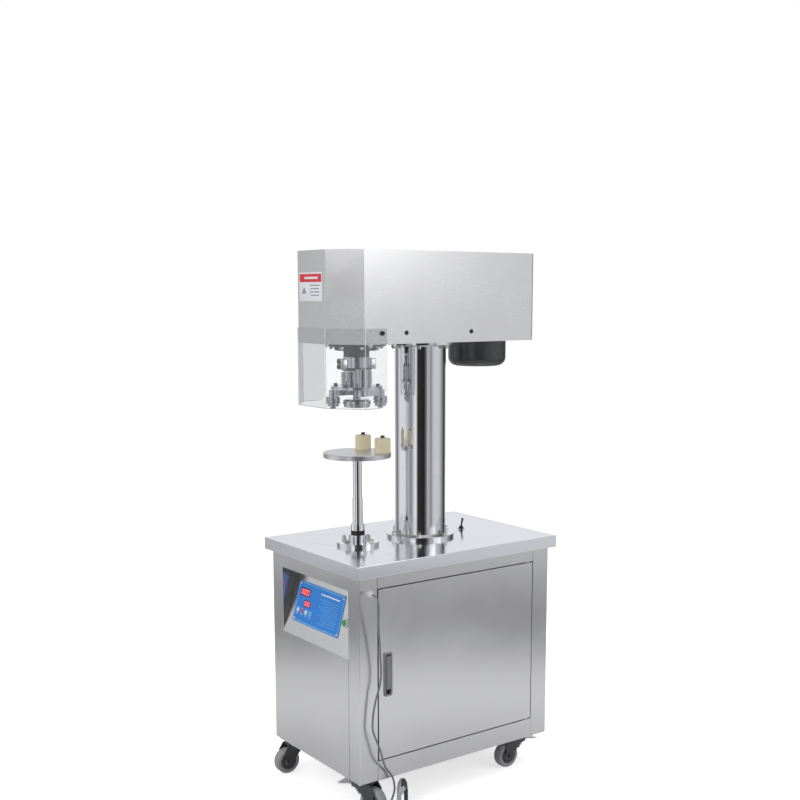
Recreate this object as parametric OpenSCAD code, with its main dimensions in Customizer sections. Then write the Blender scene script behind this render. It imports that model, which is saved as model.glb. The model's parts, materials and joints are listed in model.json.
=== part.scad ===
// Semi-automatic cup sealing machine: a wheeled cabinet with a column, a seaming head and a lifting tray.
// Millimetres, +Z up. The origin is on the floor under the worktop's middle, and -Y is the operator's side.

/* [Worktop] */
// Width of the worktop, side to side
table_w = 500; // [460:5:620]
// Depth of the worktop, front to back
table_d = 720; // [690:5:880]
// Height of the working face above the floor
table_z = 720; // [700:5:880]
// Height of the folded apron round the worktop
apron_h = 35; // [25:1:50]
// Thickness of the worktop sheet
top_t = 2; // [1.5:0.5:4]
// Thickness of the stiffening plate under the worktop
stiffener_t = 8; // [6:1:14]

/* [Cabinet] */
// How far the worktop stands out past the cabinet
overhang = 17.5; // [10:0.5:30]
// Height of the cabinet's underside, which is the height of the casters
foot_z = 100; // [95:1:120]
// Width of a corner post, side to side
post_w = 55; // [45:1:70]
// Depth of a corner post, front to back
post_d = 60; // [45:1:75]
// Wall thickness of posts and rails
frame_wall = 2; // [1.5:0.5:3]
// Thickness of a rail, front face to back face
rail_t = 25; // [20:1:35]
// Height of the visible part of the top rails below the apron
top_rail_h = 37; // [30:1:50]
// Height of the bottom rails
bottom_rail_h = 57; // [40:1:70]
// Thickness of the panel sheet
panel_t = 1.5; // [1:0.5:2.5]

/* [Door] */
// Gap all round the door
door_gap = 3; // [2.5:0.5:5]
// Depth of the folded door
door_t = 20; // [18:1:26]
// Distance of the hinge axis behind the door's face
hinge_in = 8; // [7:0.5:10]
// Distance of the hinge axis from the door's edge
hinge_edge = 14; // [12:1:20]
// Radius of a hinge pin
hinge_pin_r = 4; // [3:0.5:6]
// Height of the handle's middle above the floor
latch_z = 401; // [350:1:480]
// Length of the handle's housing
latch_len = 124; // [110:1:140]
// Width of the handle's housing
latch_w = 27; // [24:1:34]
// Distance from the door's front edge to the middle of the handle
latch_inset = 30.5; // [28:0.5:50]

/* [Console] */
// Height of the console's lower edge above the floor
console_z = 446; // [420:1:470]
// Lean of the console panel from upright, in degrees
console_tilt = 15; // [8:0.5:20]
// Depth of the front top rail below the apron
console_rail_h = 45; // [40:1:60]
// Width of the membrane panel
membrane_w = 248; // [200:1:270]
// Height of the membrane panel
membrane_h = 121; // [100:1:140]
// Radius of the start button
button_r = 9; // [7:0.5:11]
// Travel of the start button
button_travel = 3; // [2:0.5:5]

/* [Column] */
// Outer radius of the column
column_r = 76; // [60:1:90]
// Wall thickness of the column
column_wall = 4; // [3:0.5:8]
// Distance of the column behind the middle of the worktop
column_y = 34; // [10:1:60]
// Thickness of the flanges at both ends of the column
flange_t = 10; // [8:1:16]
// How far the flanges stand out past the tube
flange_out = 26; // [24:1:36]
// Height of the head's underside above the floor
head_z = 1303; // [1290:1:1450]

/* [Head] */
// Half width of the head
head_x = 160; // [150:1:200]
// Half width of the head's flat front
nose_x = 72; // [60:1:90]
// Distance of the head's front ahead of the middle
head_front = 337; // [330:1:360]
// Distance of the head's side corners ahead of the middle
head_corner = 270; // [255:1:290]
// Distance of the head's rear behind the middle
head_rear = 338; // [338:1:380]
// Height of the head
head_h = 254; // [248:1:300]
// Thickness of the head's sheet cover
cover_t = 2; // [1.5:0.5:3]
// Thickness of the head's base plate
base_t = 8; // [6:1:12]
// Radius of the head's rear corners
head_round = 12; // [8:1:20]

/* [Guard] */
// Thickness of the clear guard
guard_t = 3; // [2:0.5:5]
// How far the guard overlaps the head
guard_over = 43; // [38:1:60]
// How far the guard hangs below the head
guard_drop = 174; // [150:1:200]
// Length of the guard behind the side corners
guard_wing = 72; // [50:1:100]
// Radius of the guard's lower rear corners
guard_round = 20; // [10:1:30]

/* [Seaming drive] */
// Distance of the sealing axis ahead of the middle of the worktop
seal_y = 191; // [170:1:210]
// Distance of the motor's axis behind the middle of the worktop
motor_y = 250; // [240:1:250]
// Radius of the motor's body
motor_r = 76; // [60:1:80]
// Radius of the motor's fan cover
fan_cover_r = 88; // [84:1:88]
// How far the fan cover hangs below the head
fan_cover_h = 80; // [60:1:100]
// Radius of the motor pulley
motor_pulley_r = 40; // [30:1:50]
// Radius of the spindle pulley
spindle_pulley_r = 72; // [60:1:90]
// Thickness of the belt
belt_t = 5; // [3:0.5:8]
// Radius of the spindle
spindle_r = 22.5; // [20:0.5:25]
// Radius of the chuck's shaft
chuck_shaft_r = 10.95; // [8:0.05:13]
// Radius of the seaming chuck
chuck_r = 40; // [30:1:44]
// Radius of a seaming roller
roller_r = 20; // [14:1:22]
// Clearance between a roller and the chuck with the arm out
roller_gap = 8; // [6:0.5:12]
// Turn of the turret about its axis at rest, in degrees
turret_turn = 170; // [0:5:180]

/* [Lift and tray] */
// Radius of the tray
tray_r = 98; // [90:1:110]
// Thickness of the tray
tray_t = 14; // [8:1:18]
// Height of the tray's face above the worktop
tray_h = 270; // [240:1:300]
// Radius of the tray's rod
rod_r = 13.4; // [10:0.1:15]
// Wall thickness of the lift sleeve
sleeve_wall = 1.85; // [1.5:0.05:4]
// Height of the lift sleeve's top above the worktop
sleeve_h = 136; // [110:1:150]
// Lifting stroke
lift_stroke = 45; // [20:1:50]
// Radius of the lift flange on the worktop
lift_flange_r = 62; // [56:1:75]
// Radius of a locating stop
stop_r = 23; // [16:1:24]
// Height of a locating stop
stop_h = 41; // [20:1:45]

/* [Casters] */
// Radius of a wheel
wheel_r = 38; // [36:1:40]
// Width of a wheel
wheel_w = 30; // [24:1:34]
// Distance from a caster's swivel axis to its axle
caster_trail = 37; // [30:1:38]
// Distance of the swivel axes from the cabinet's sides
caster_side_in = 52.5; // [48:0.5:70]
// Distance of the front swivel axes from the cabinet's front
caster_front_in = 42.5; // [40:0.5:52]
// Distance of the rear swivel axes from the cabinet's rear
caster_rear_in = 76.5; // [52:0.5:92]

/* [Foot switch] */
// Length of the foot switch, which stands on its toe
pedal_l = 92; // [80:1:92]
// Width of the foot switch
pedal_w = 62; // [56:1:70]

/* [Hidden] */

$fn = 64;
big = 2000;
eps = 0.01;
run_fit = 0.05;
slide_gap = 0.3;

// Cabinet
cab_w = table_w - 2 * overhang;
cab_d = table_d - 2 * overhang;
cab_top = table_z - apron_h;
frame_top = table_z - top_t;
bay_w = cab_w - 2 * post_w;
bay_d = cab_d - 2 * post_d;
bay_z0 = foot_z + bottom_rail_h;
bay_z1 = cab_top - top_rail_h;
console_top = cab_top - console_rail_h;
stiffener_w = 230;
stiffener_front = 74;
stiffener_rear = 115;
cable_hole_r = 30;
stiffener_z = frame_top - stiffener_t;
fold = 18;
box_size = [90, 260, 210];
box_down = 348;

// Door
door_w = bay_d - 2 * door_gap;
door_h = bay_z1 - bay_z0 - 2 * door_gap;
door_z = bay_z0 + door_gap;
hinge_x = cab_w / 2 - hinge_in;
hinge_y = door_w / 2 - hinge_edge;
hinge_block = 26;
latch_y = -door_w / 2 + latch_inset;
latch_pivot_z = latch_z + latch_len / 2 - 14;
latch_pivot_x = cab_w / 2 - 4;

// Console: the membrane's middle and the button, from the console's lower edge and the middle
membrane_x = -17;
membrane_up = 102;
membrane_t = 1.2;
membrane_round = 6;
film_screw_in = 8;
film_window_in = 25;
button_x = 127;
button_up = 91;
bezel_r = button_r + 4;
bezel_h = 4;
bezel_in = 24;
cap_in = 14;

// Glands
cord_gland_y = -cab_d / 2 + 31.5;
cord_gland_z = cab_top - 46;
cord_gland_len = 20;
mains_x = 120;
mains_z = 230;
mains_bore_r = 4;
mains_neck_r = 8;
mains_nut_r = 12;

// Bolts
bolt_r = 4;
bolt_hole_r = bolt_r + 0.3;
washer_r = 8.5;
washer_t = 1.5;
nut_r = 7.3;
nut_h = 6.5;
stud_up = 3.5;
thread_in = 6;
table_grip = flange_t + top_t + stiffener_t + thread_in;
head_grip = flange_t + base_t + thread_in;
column_pcd_r = column_r + 13;
lift_pcd_r = lift_flange_r - 12;
screw_r = 2.4;
screw_head_r = 4.6;
screw_grip = 8;

// Head
chamfer_turn = atan((head_front - head_corner) / (head_x - nose_x));
head_top = head_z + head_h;
plate_top = head_z + base_t;
cover_screw_y = [-131, 98];
side_screw_z = head_z + 30;
flange_up = 45;
guard_gap = 0.3;
guard_end_y = -head_corner + guard_wing;
guard_screw_y = guard_end_y - 15;

// Drive train, heights
pulley_z = head_z + 170;
pulley_h = 28;
belt_w = 20;
belt_gap = 0.4;
motor_top = head_z + 146;
fan_down = fan_cover_h - 20;
fan_r = 56;
fan_t = 3;
bearing_r = 40;
bearing_h = 18;
nose_z = head_z - 40;
hub_r = 38;
housing_r = 48;
housing_h = 122;
bearing_up = 2;
nose_r = 37;
motor_shaft_r = 9.5;
motor_flange_out = 8;
column_way_r = 60;
hub_z = head_z - 81;
hub_h = 40;
carrier_z = hub_z - 50;
carrier_t = 8;
carrier_r = 74;
pillar_r = 20;
pivot_at = 40;
pivot_pin_r = 8;
arm_t = 18;
arm_z = carrier_z - arm_t - 2;
roller_h = 28;
roller_z = arm_z - roller_h - 2;
roller_at = chuck_r + roller_r + roller_gap;
roller_turn = 75;
axle_r = 5;
chuck_z = roller_z - 2;
chuck_h = 22;

// Lift
sleeve_r = rod_r + run_fit + sleeve_wall;
hub_top = table_z + 30;
seal_h = 12;
collar_z = hub_top + seal_h + 0.5;
collar_h = 18.5;
sleeve_top = table_z + sleeve_h;
sleeve_in = 115 + lift_stroke;
sleeve_z = table_z - sleeve_in;
stem_l = 45 + lift_stroke;
cylinder_l = sleeve_in + stem_l + 30;
cylinder_r = 32;
tray_top = table_z + tray_h;
rod_z = table_z - 80;
lift_hub_r = 26;
collar_r = 20.5;
spigot_r = 8;
spigot_h = 8;
stem_r = 8;
stop_x = 50;
stop_y = 54;
stop_bore_r = 3.3;

// Toggle switch
toggle_y = column_y + column_r + 82;
toggle_neck_r = 6;
toggle_body_h = 26;
toggle_tilt = 12;
toggle_z = table_z + 9;

// Casters: x, y, direction of trail in degrees
caster_x = cab_w / 2 - caster_side_in;
caster_front = cab_d / 2 - caster_front_in;
caster_rear = cab_d / 2 - caster_rear_in;
casters = [[-caster_x, -caster_front, -90], [caster_x, -caster_front, 20],
    [-caster_x, caster_rear, 90], [caster_x, caster_rear, -90]];
plate_z = foot_z - 4;
yoke_z = foot_z - 16;
yoke_t = 11.5;
kingpin_r = 6;
leg_t = 3;
leg_y = wheel_w / 2 + 2;
boss_r = 11;
brake_x = -20;
brake_z = yoke_z - 6;
brake_pin_r = 3;
brake_len = 54;

// Foot switch, standing on its toe beside the right front caster
pedal_x = cab_w / 2 + 21;
pedal_y = 126.5 - cab_d / 2;
pedal_turn = 54;
pedal_pivot_x = 3.2;
pedal_pivot_z = pedal_l - 12;
pedal_pin_r = 3;
pedal_gland_z = 16;
pedal_gland_len = 12;

// Cord of the foot switch, from the gland on the cabinet to the gland on the switch
cord_r = 2.75;
cord_sides = 8;
cord_steps = 2;
cord_corner = [232.5, -342.5, 639];
cord_points = [[252.5, -311, 639], [259, -311, 638.5], [270.5, -311.5, 635], [279, -312.5, 626.5], [282, -313, 615],
    [280, -312, 594], [272, -307, 557], [268, -301, 517], [262, -294, 458], [260, -291, 420],
    [257, -294, 381], [255, -302, 354], [252, -309, 320], [251, -313, 288], [253, -314, 260],
    [258, -307, 233], [262, -296, 202], [262, -287, 171], [258, -278, 150], [251, -263, 131],
    [248, -248, 112], [248, -240, 88], [248, -239, 67], [249, -246, 49], [252, -257, 33],
    [257, -269, 19], [260, -281, 10], [263, -293, 6], [272, -302, 4], [286, -305, 3],
    [300, -300, 3], [309, -287, 4], [308, -272, 8], [299, -260, 13], [291, -254.4, 15.5],
    [283, -248.5, 16]];

// ---------- shared shapes ----------

// A ring from z = 0
module ring(r_out, r_in, h) {
    difference() {
        cylinder(r = r_out, h = h);
        translate([0, 0, -eps]) cylinder(r = r_in, h = h + 2 * eps);
    }
}

// A flat rectangle about the middle with round corners
module round_rect(w, h, r) {
    square([w - 2 * r, h], center = true);
    square([w, h - 2 * r], center = true);
    for (sx = [-1, 1], sy = [-1, 1]) translate([sx * (w / 2 - r), sy * (h / 2 - r)]) circle(r = r);
}

// A box with its low corner at p
module block(p, size) {
    translate(p) cube(size);
}

// A square tube of the given outer size, hollow along its first side
module tube_x(p, size) {
    difference() {
        block(p, size);
        block(p + [-eps, frame_wall, frame_wall],
            [size[0] + 2 * eps, size[1] - 2 * frame_wall, size[2] - 2 * frame_wall]);
    }
}

// A square tube of the given outer size, hollow along its second side
module tube_y(p, size) {
    difference() {
        block(p, size);
        block(p + [frame_wall, -eps, frame_wall],
            [size[0] - 2 * frame_wall, size[1] + 2 * eps, size[2] - 2 * frame_wall]);
    }
}

// A sheet with folded edges, lying in XY with its face down, about the middle
module pan(w, h, depth, t) {
    difference() {
        translate([-w / 2, -h / 2, 0]) cube([w, h, depth]);
        translate([-w / 2 + t, -h / 2 + t, t]) cube([w - 2 * t, h - 2 * t, depth]);
    }
}

// The head's outline from above, drawn in by o
module head_plan(o) {
    x = head_x - o;
    nose = nose_x - o * tan(chamfer_turn / 2);
    corner = -head_corner + o * tan((90 - chamfer_turn) / 2);
    r = head_round - o;
    rear = head_rear - o;
    polygon([[-nose, -head_front + o], [nose, -head_front + o], [x, corner], [x, rear - r],
        [x - r, rear], [r - x, rear], [-x, rear - r], [-x, corner]]);
    for (s = [-1, 1]) translate([s * (x - r), rear - r]) circle(r = r);
}

// Children stand on the console: x across, z up its slope, -y out of its face
module on_console() {
    translate([0, -cab_d / 2, console_z]) rotate([-console_tilt, 0, 0]) children();
}

// Children at the membrane's screws, in the console's own frame, with z out of its face
module at_film_screws() {
    for (sx = [-1, 1], sz = [-1, 1])
        translate([membrane_x + sx * (membrane_w / 2 - film_screw_in), 0,
            membrane_up + sz * (membrane_h / 2 - film_screw_in)]) rotate([90, 0, 0]) children();
}

// Children at the bolt places of the column, and of the lift flange
module at_column_bolts() {
    for (i = [0:5]) translate([0, column_y, 0]) rotate([0, 0, 60 * i + 22])
        translate([column_pcd_r, 0, 0]) children();
}
module at_lift_bolts() {
    for (i = [0:3]) translate([0, -seal_y, 0]) rotate([0, 0, 90 * i + 20])
        translate([lift_pcd_r, 0, 0]) children();
}

// A stud with a washer on z = 0, a nut and its end showing above the nut
module stud(grip) {
    cylinder(r = washer_r, h = washer_t);
    translate([0, 0, washer_t - eps]) cylinder(r = nut_r, h = nut_h, $fn = 6);
    translate([0, 0, -grip]) cylinder(r = bolt_r, h = grip + washer_t + nut_h + stud_up);
}

// A round-headed screw pointing along -z from its head at z = 0
module panel_screw(grip) {
    rotate_extrude() polygon([[0, -grip], [screw_r, -grip], [screw_r, 0], [screw_head_r, 0],
        [screw_head_r, 1], [3.4, 2.4], [1.4, 2.8], [0, 2.8]]);
}

// ---------- frame and cabinet ----------

module corner_posts() {
    color("gainsboro")
    for (sx = [-1, 1], sy = [-1, 1])
        translate([sx * (cab_w - post_w) / 2, sy * (cab_d - post_d) / 2, foot_z])
            difference() {
                translate([-post_w / 2, -post_d / 2, 0]) cube([post_w, post_d, frame_top - foot_z]);
                translate([frame_wall - post_w / 2, frame_wall - post_d / 2, frame_wall])
                    cube([post_w - 2 * frame_wall, post_d - 2 * frame_wall, big]);
            }
}

module frame_rails() {
    color("gainsboro") {
        for (s = [-1, 1]) {
            x = s > 0 ? cab_w / 2 - rail_t : -cab_w / 2;
            tube_y([x, -bay_d / 2, bay_z1], [rail_t, bay_d, frame_top - bay_z1]);
            tube_y([x, -bay_d / 2, foot_z], [rail_t, bay_d, bottom_rail_h]);
        }
        tube_x([-bay_w / 2, -cab_d / 2, console_top], [bay_w, rail_t, frame_top - console_top]);
        tube_x([-bay_w / 2, -cab_d / 2 + panel_t, foot_z], [bay_w, rail_t, bottom_rail_h]);
        tube_x([-bay_w / 2, cab_d / 2 - rail_t, bay_z1], [bay_w, rail_t, frame_top - bay_z1]);
        tube_x([-bay_w / 2, cab_d / 2 - rail_t, foot_z], [bay_w, rail_t, bottom_rail_h]);
    }
}

module worktop() {
    through = stiffener_t + top_t + 2;
    color("silver")
    difference() {
        union() {
            difference() {
                block([-table_w / 2, -table_d / 2, cab_top], [table_w, table_d, apron_h]);
                block([top_t - table_w / 2, top_t - table_d / 2, cab_top - eps],
                    [table_w - 2 * top_t, table_d - 2 * top_t, apron_h - top_t + eps]);
            }
            block([-stiffener_w / 2, -seal_y - stiffener_front, stiffener_z],
                [stiffener_w, stiffener_front + seal_y + column_y + stiffener_rear, stiffener_t + eps]);
        }
        translate([0, column_y, stiffener_z - 1]) cylinder(r = cable_hole_r, h = through);
        translate([0, -seal_y, stiffener_z - 1]) cylinder(r = sleeve_r + 4, h = through);
        at_column_bolts() translate([0, 0, stiffener_z - 1]) cylinder(r = bolt_hole_r, h = through);
        at_lift_bolts() translate([0, 0, stiffener_z - 1]) cylinder(r = bolt_hole_r, h = through);
        translate([0, toggle_y, frame_top - 1]) cylinder(r = toggle_neck_r + 0.2, h = top_t + 2);
    }
}

module left_panel() {
    color("gainsboro")
    translate([-cab_w / 2, 0, (bay_z0 + bay_z1) / 2]) rotate([0, 90, 0])
        pan(bay_z1 - bay_z0 - 0.4, bay_d - 0.4, fold, panel_t);
}

module rear_panel() {
    slot_w = 70;
    slot_h = 5;
    slot_pitch = 18;
    slots_down = 170;
    color("gainsboro")
    difference() {
        translate([0, cab_d / 2, (bay_z0 + bay_z1) / 2]) rotate([90, 0, 0])
            pan(bay_w - 0.4, bay_z1 - bay_z0 - 0.4, fold, panel_t);
        for (sx = [-1, 1], i = [0:6])
            block([sx * 65 - slot_w / 2, cab_d / 2 - 5, bay_z1 - slots_down + slot_pitch * i],
                [slot_w, 10, slot_h]);
        translate([mains_x, cab_d / 2 + 5, mains_z]) rotate([90, 0, 0]) cylinder(r = mains_neck_r + 0.2, h = 10);
    }
}

module floor_panel() {
    color("gainsboro")
    translate([0, 0, foot_z]) {
        block([-bay_w / 2 + 0.3, -cab_d / 2 + panel_t + rail_t + 0.3, 0],
            [bay_w - 0.6, cab_d - 2 * rail_t - panel_t - 0.6, panel_t]);
        block([-cab_w / 2 + rail_t + 0.3, -bay_d / 2 + 0.3, 0],
            [cab_w - 2 * rail_t - 0.6, bay_d - 0.6, panel_t]);
    }
}

module front_panel() {
    slope_w = bay_w - 0.4;
    rise = console_top + 8 - console_z;
    run = rise * tan(console_tilt);
    y = -cab_d / 2;
    color("gainsboro")
    difference() {
        translate([-slope_w / 2, 0, 0]) rotate([90, 0, 90]) linear_extrude(slope_w)
            polygon([[y, foot_z], [y, console_z], [y + run, console_z + rise],
                [y + rail_t + 0.2, console_z + rise],
                [y + rail_t + 0.2, console_z + rise + panel_t], [y + run + panel_t, console_z + rise + panel_t],
                [y + run + panel_t, console_z + rise],
                [y + panel_t, console_z], [y + panel_t, foot_z]]);
        on_console() {
            translate([membrane_x - membrane_w / 2 + film_window_in, -5,
                membrane_up - membrane_h / 2 + film_window_in])
                cube([membrane_w - 2 * film_window_in, 15, membrane_h - 2 * film_window_in]);
            translate([button_x, 10, button_up]) rotate([90, 0, 0]) cylinder(r = button_r + 2.6, h = 20);
            at_film_screws() translate([0, 0, -10]) cylinder(r = screw_r + 0.2, h = 20);
        }
    }
}

module control_box() {
    color("whitesmoke")
    block([-cab_w / 2 + panel_t, -box_size[1] / 2 + 20, bay_z1 - box_down], box_size);
}

module membrane_panel() {
    color("royalblue")
    on_console() translate([membrane_x, 0, membrane_up]) rotate([90, 0, 0])
        difference() {
            linear_extrude(membrane_t) round_rect(membrane_w, membrane_h, membrane_round);
            translate([-membrane_x, -membrane_up, 0]) rotate([-90, 0, 0]) at_film_screws()
                translate([0, 0, -1]) cylinder(r = screw_r + 0.2, h = membrane_t + 2);
        }
}

module panel_screws() {
    color("dimgray") {
        on_console() at_film_screws() translate([0, 0, membrane_t]) panel_screw(screw_grip);
        for (s = [-1, 1], y = cover_screw_y)
            translate([s * head_x, y, side_screw_z]) rotate([0, s * 90, 0]) panel_screw(screw_grip);
        for (s = [-1, 1]) translate([s * (head_x + guard_gap + guard_t), guard_screw_y, side_screw_z])
            rotate([0, s * 90, 0]) panel_screw(screw_grip + guard_gap + guard_t);
    }
}

module button_bezel() {
    color("gainsboro")
    on_console() translate([button_x, 0, button_up]) rotate([90, 0, 0]) {
        ring(bezel_r, button_r + slide_gap, bezel_h);
        translate([0, 0, -bezel_in]) ring(button_r + 2.4, button_r + slide_gap, bezel_in + eps);
    }
}

module start_button() {
    color("limegreen")
    on_console() translate([button_x, 0, button_up]) rotate([90, 0, 0])
        translate([0, 0, -cap_in]) rotate_extrude()
            polygon([[0, 0], [button_r, 0], [button_r, cap_in + bezel_h + button_travel - 1],
                [button_r - 1, cap_in + bezel_h + button_travel], [0, cap_in + bezel_h + button_travel]]);
}

// ---------- door ----------

module door() {
    color("gainsboro")
    difference() {
        union() {
            translate([cab_w / 2, 0, door_z + door_h / 2]) rotate([0, -90, 0])
                pan(door_h, door_w, door_t, panel_t);
            for (z = [door_z + panel_t - eps, door_z + door_h - panel_t - hinge_block + eps])
                block([cab_w / 2 - door_t + eps, door_w / 2 - panel_t - hinge_block, z],
                    [door_t - panel_t, hinge_block + eps, hinge_block]);
        }
        for (z = [door_z - 1, door_z + door_h + 1 - hinge_block])
            translate([hinge_x, hinge_y, z]) cylinder(r = hinge_pin_r + run_fit, h = hinge_block);
        block([cab_w / 2 - 5, latch_y - latch_w / 2 + 2.8, latch_z - latch_len / 2 + 2.8],
            [10, latch_w - 5.6, latch_len - 5.6]);
    }
}

module hinge_pins() {
    color("silver")
    for (s = [-1, 1])
        translate([hinge_x, hinge_y, (bay_z0 + bay_z1) / 2]) rotate([0, s > 0 ? 0 : 180, 0])
            translate([0, 0, (bay_z1 - bay_z0) / 2]) {
                translate([0, 0, -18]) cylinder(r = hinge_pin_r, h = 18);
                translate([0, 0, 0.4 - door_gap]) cylinder(r = hinge_pin_r + 2.5, h = door_gap - 0.4);
            }
}

module latch_housing() {
    color("dimgray")
    translate([cab_w / 2, latch_y, latch_z]) rotate([90, 0, 90])
        difference() {
            union() {
                linear_extrude(3) round_rect(latch_w, latch_len, 5);
                translate([3 - latch_w / 2, 3 - latch_len / 2, -14]) cube([latch_w - 6, latch_len - 6, 15]);
            }
            translate([5 - latch_w / 2, 5 - latch_len / 2, -11]) cube([latch_w - 10, latch_len - 10, 20]);
        }
    color("silver")
    translate([latch_pivot_x, latch_y - latch_w / 2 + 4, latch_pivot_z]) rotate([-90, 0, 0])
        cylinder(r = 2, h = latch_w - 8);
}

module latch_lever() {
    lever_w = latch_w - 11.5;
    lever_len = latch_len - 34;
    color("darkgray")
    translate([0, latch_y, 0]) difference() {
        translate([latch_pivot_x, lever_w / 2, latch_pivot_z]) rotate([90, 0, 0]) linear_extrude(lever_w)
            union() {
                circle(r = 5.5);
                polygon([[-3, 3], [9, 3], [10, 0], [10, -lever_len + 14], [8, -lever_len], [3, -lever_len - 2],
                    [5, -lever_len + 8], [4, -14], [-3, -3]]);
            }
        translate([latch_pivot_x, lever_w, latch_pivot_z]) rotate([90, 0, 0])
            cylinder(r = 2 + run_fit, h = 2 * lever_w);
    }
}

// ---------- glands ----------

module cord_gland() {
    color("white")
    translate([cab_w / 2, cord_gland_y, cord_gland_z]) rotate([0, 90, 0]) {
        cylinder(r = 10.5, h = 6, $fn = 6);
        translate([0, 0, 6 - eps]) cylinder(r = 8.5, h = 6);
        translate([0, 0, 12 - 2 * eps]) cylinder(r1 = 8.5, r2 = 5.5, h = cord_gland_len - 12);
    }
}

module mains_gland() {
    color("dimgray")
    translate([mains_x, cab_d / 2, mains_z]) rotate([-90, 0, 0])
        difference() {
            union() {
                translate([0, 0, -12]) cylinder(r = mains_neck_r, h = 12 + eps);
                cylinder(r = mains_nut_r, h = 7, $fn = 6);
                translate([0, 0, 7 - eps]) cylinder(r = mains_neck_r + 1, h = 11);
                translate([0, 0, -panel_t - 5]) cylinder(r = mains_nut_r, h = 5, $fn = 6);
            }
            translate([0, 0, -20]) cylinder(r = mains_bore_r, h = 60);
        }
}

// ---------- column ----------

module column() {
    color("silver")
    translate([0, column_y, 0]) difference() {
        union() {
            translate([0, 0, table_z]) cylinder(r = column_r, h = head_z - table_z);
            for (z = [table_z, head_z - flange_t])
                translate([0, 0, z]) cylinder(r = column_r + flange_out, h = flange_t);
        }
        translate([0, 0, table_z - 1]) cylinder(r = column_r - column_wall, h = head_z - table_z + 2);
        translate([0, -column_y, table_z - 1]) at_column_bolts() cylinder(r = bolt_hole_r, h = big);
    }
}

module flange_bolts() {
    color("silver") {
        at_column_bolts() translate([0, 0, table_z + flange_t]) stud(table_grip);
        at_column_bolts() translate([0, 0, head_z - flange_t]) rotate([180, 0, 0]) stud(head_grip);
        at_lift_bolts() translate([0, 0, table_z + flange_t]) stud(table_grip);
    }
}

// ---------- head ----------

module head_base_plate() {
    color("lightgray")
    difference() {
        union() {
            translate([0, 0, head_z]) linear_extrude(base_t) head_plan(cover_t + 0.2);
            for (s = [-1, 1])
                block([s * (head_x - cover_t - 1.7) - 1.5, -head_corner + 20, plate_top - eps],
                    [3, head_corner + head_rear - 60, flange_up]);
        }
        translate([0, column_y, head_z - 1])
            cylinder(r = min(column_way_r, column_r - column_wall), h = base_t + 2);
        translate([0, motor_y, head_z - 1]) cylinder(r = motor_r + 0.5, h = base_t + 2);
        translate([0, -seal_y, head_z - 1]) cylinder(r = housing_r + 0.5, h = base_t + 2);
        at_column_bolts() translate([0, 0, head_z - 1]) cylinder(r = bolt_hole_r, h = base_t + 2);
        for (s = [-1, 1], y = concat(guard_screw_y, cover_screw_y))
            translate([s * head_x, y, side_screw_z])
                rotate([0, -s * 90, 0]) cylinder(r = screw_r + 0.1, h = 12);
    }
}

module head_cover() {
    color("gainsboro")
    difference() {
        translate([0, 0, head_z]) linear_extrude(head_h) head_plan(0);
        translate([0, 0, head_z - 1]) linear_extrude(head_h - cover_t + 1) head_plan(cover_t);
        for (s = [-1, 1], y = concat(guard_screw_y, cover_screw_y))
            translate([s * (head_x + 5), y, side_screw_z])
                rotate([0, -s * 90, 0]) cylinder(r = screw_r + 0.2, h = 12);
    }
}

module guard() {
    low = head_z - guard_drop;
    color([0.8, 0.9, 0.95, 0.4])
    difference() {
        translate([0, 0, low]) linear_extrude(guard_drop + guard_over) difference() {
            head_plan(-guard_gap - guard_t);
            head_plan(-guard_gap);
            translate([-big / 2, guard_end_y]) square([big, big]);
        }
        translate([-big / 2, guard_end_y, low]) rotate([90, 0, 90]) linear_extrude(big) difference() {
            translate([-guard_round, -1]) square([guard_round + 1, guard_round + 1]);
            translate([-guard_round, guard_round]) circle(r = guard_round);
        }
        for (s = [-1, 1]) translate([s * (head_x + 10), guard_screw_y, side_screw_z])
            rotate([0, -s * 90, 0]) cylinder(r = screw_r + 0.2, h = 20);
    }
}

// ---------- drive ----------

module motor() {
    color("slategray")
    translate([0, motor_y, 0]) difference() {
        union() {
            translate([0, 0, head_z - 18]) cylinder(r = motor_r, h = motor_top - head_z + 18);
            translate([0, 0, plate_top]) cylinder(r = motor_r + motor_flange_out, h = 10);
            translate([0, 0, motor_top - eps]) cylinder(r = 24, h = 12);
        }
        translate([0, 0, head_z - 30]) cylinder(r = motor_shaft_r + run_fit, h = 300);
    }
}

module fan_cover() {
    wall = 2;
    round_r = 26;
    color("dimgray")
    translate([0, motor_y, head_z - fan_cover_h]) difference() {
        union() {
            translate([0, 0, round_r]) cylinder(r = fan_cover_r, h = fan_cover_h - round_r);
            rotate_extrude() difference() {
                union() {
                    square([fan_cover_r - round_r, round_r + eps]);
                    translate([fan_cover_r - round_r, round_r]) circle(r = round_r);
                }
                translate([0, round_r + eps]) square([fan_cover_r + 1, round_r + 1]);
                translate([-big, -big / 2]) square([big, big]);
            }
        }
        translate([0, 0, wall]) cylinder(r = fan_cover_r - round_r, h = fan_cover_h);
        translate([0, 0, round_r]) cylinder(r = fan_cover_r - wall, h = fan_cover_h);
        for (i = [0:11]) rotate([0, 0, 30 * i]) translate([22, -2, -1]) cube([34, 4, wall + 2]);
    }
}

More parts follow.
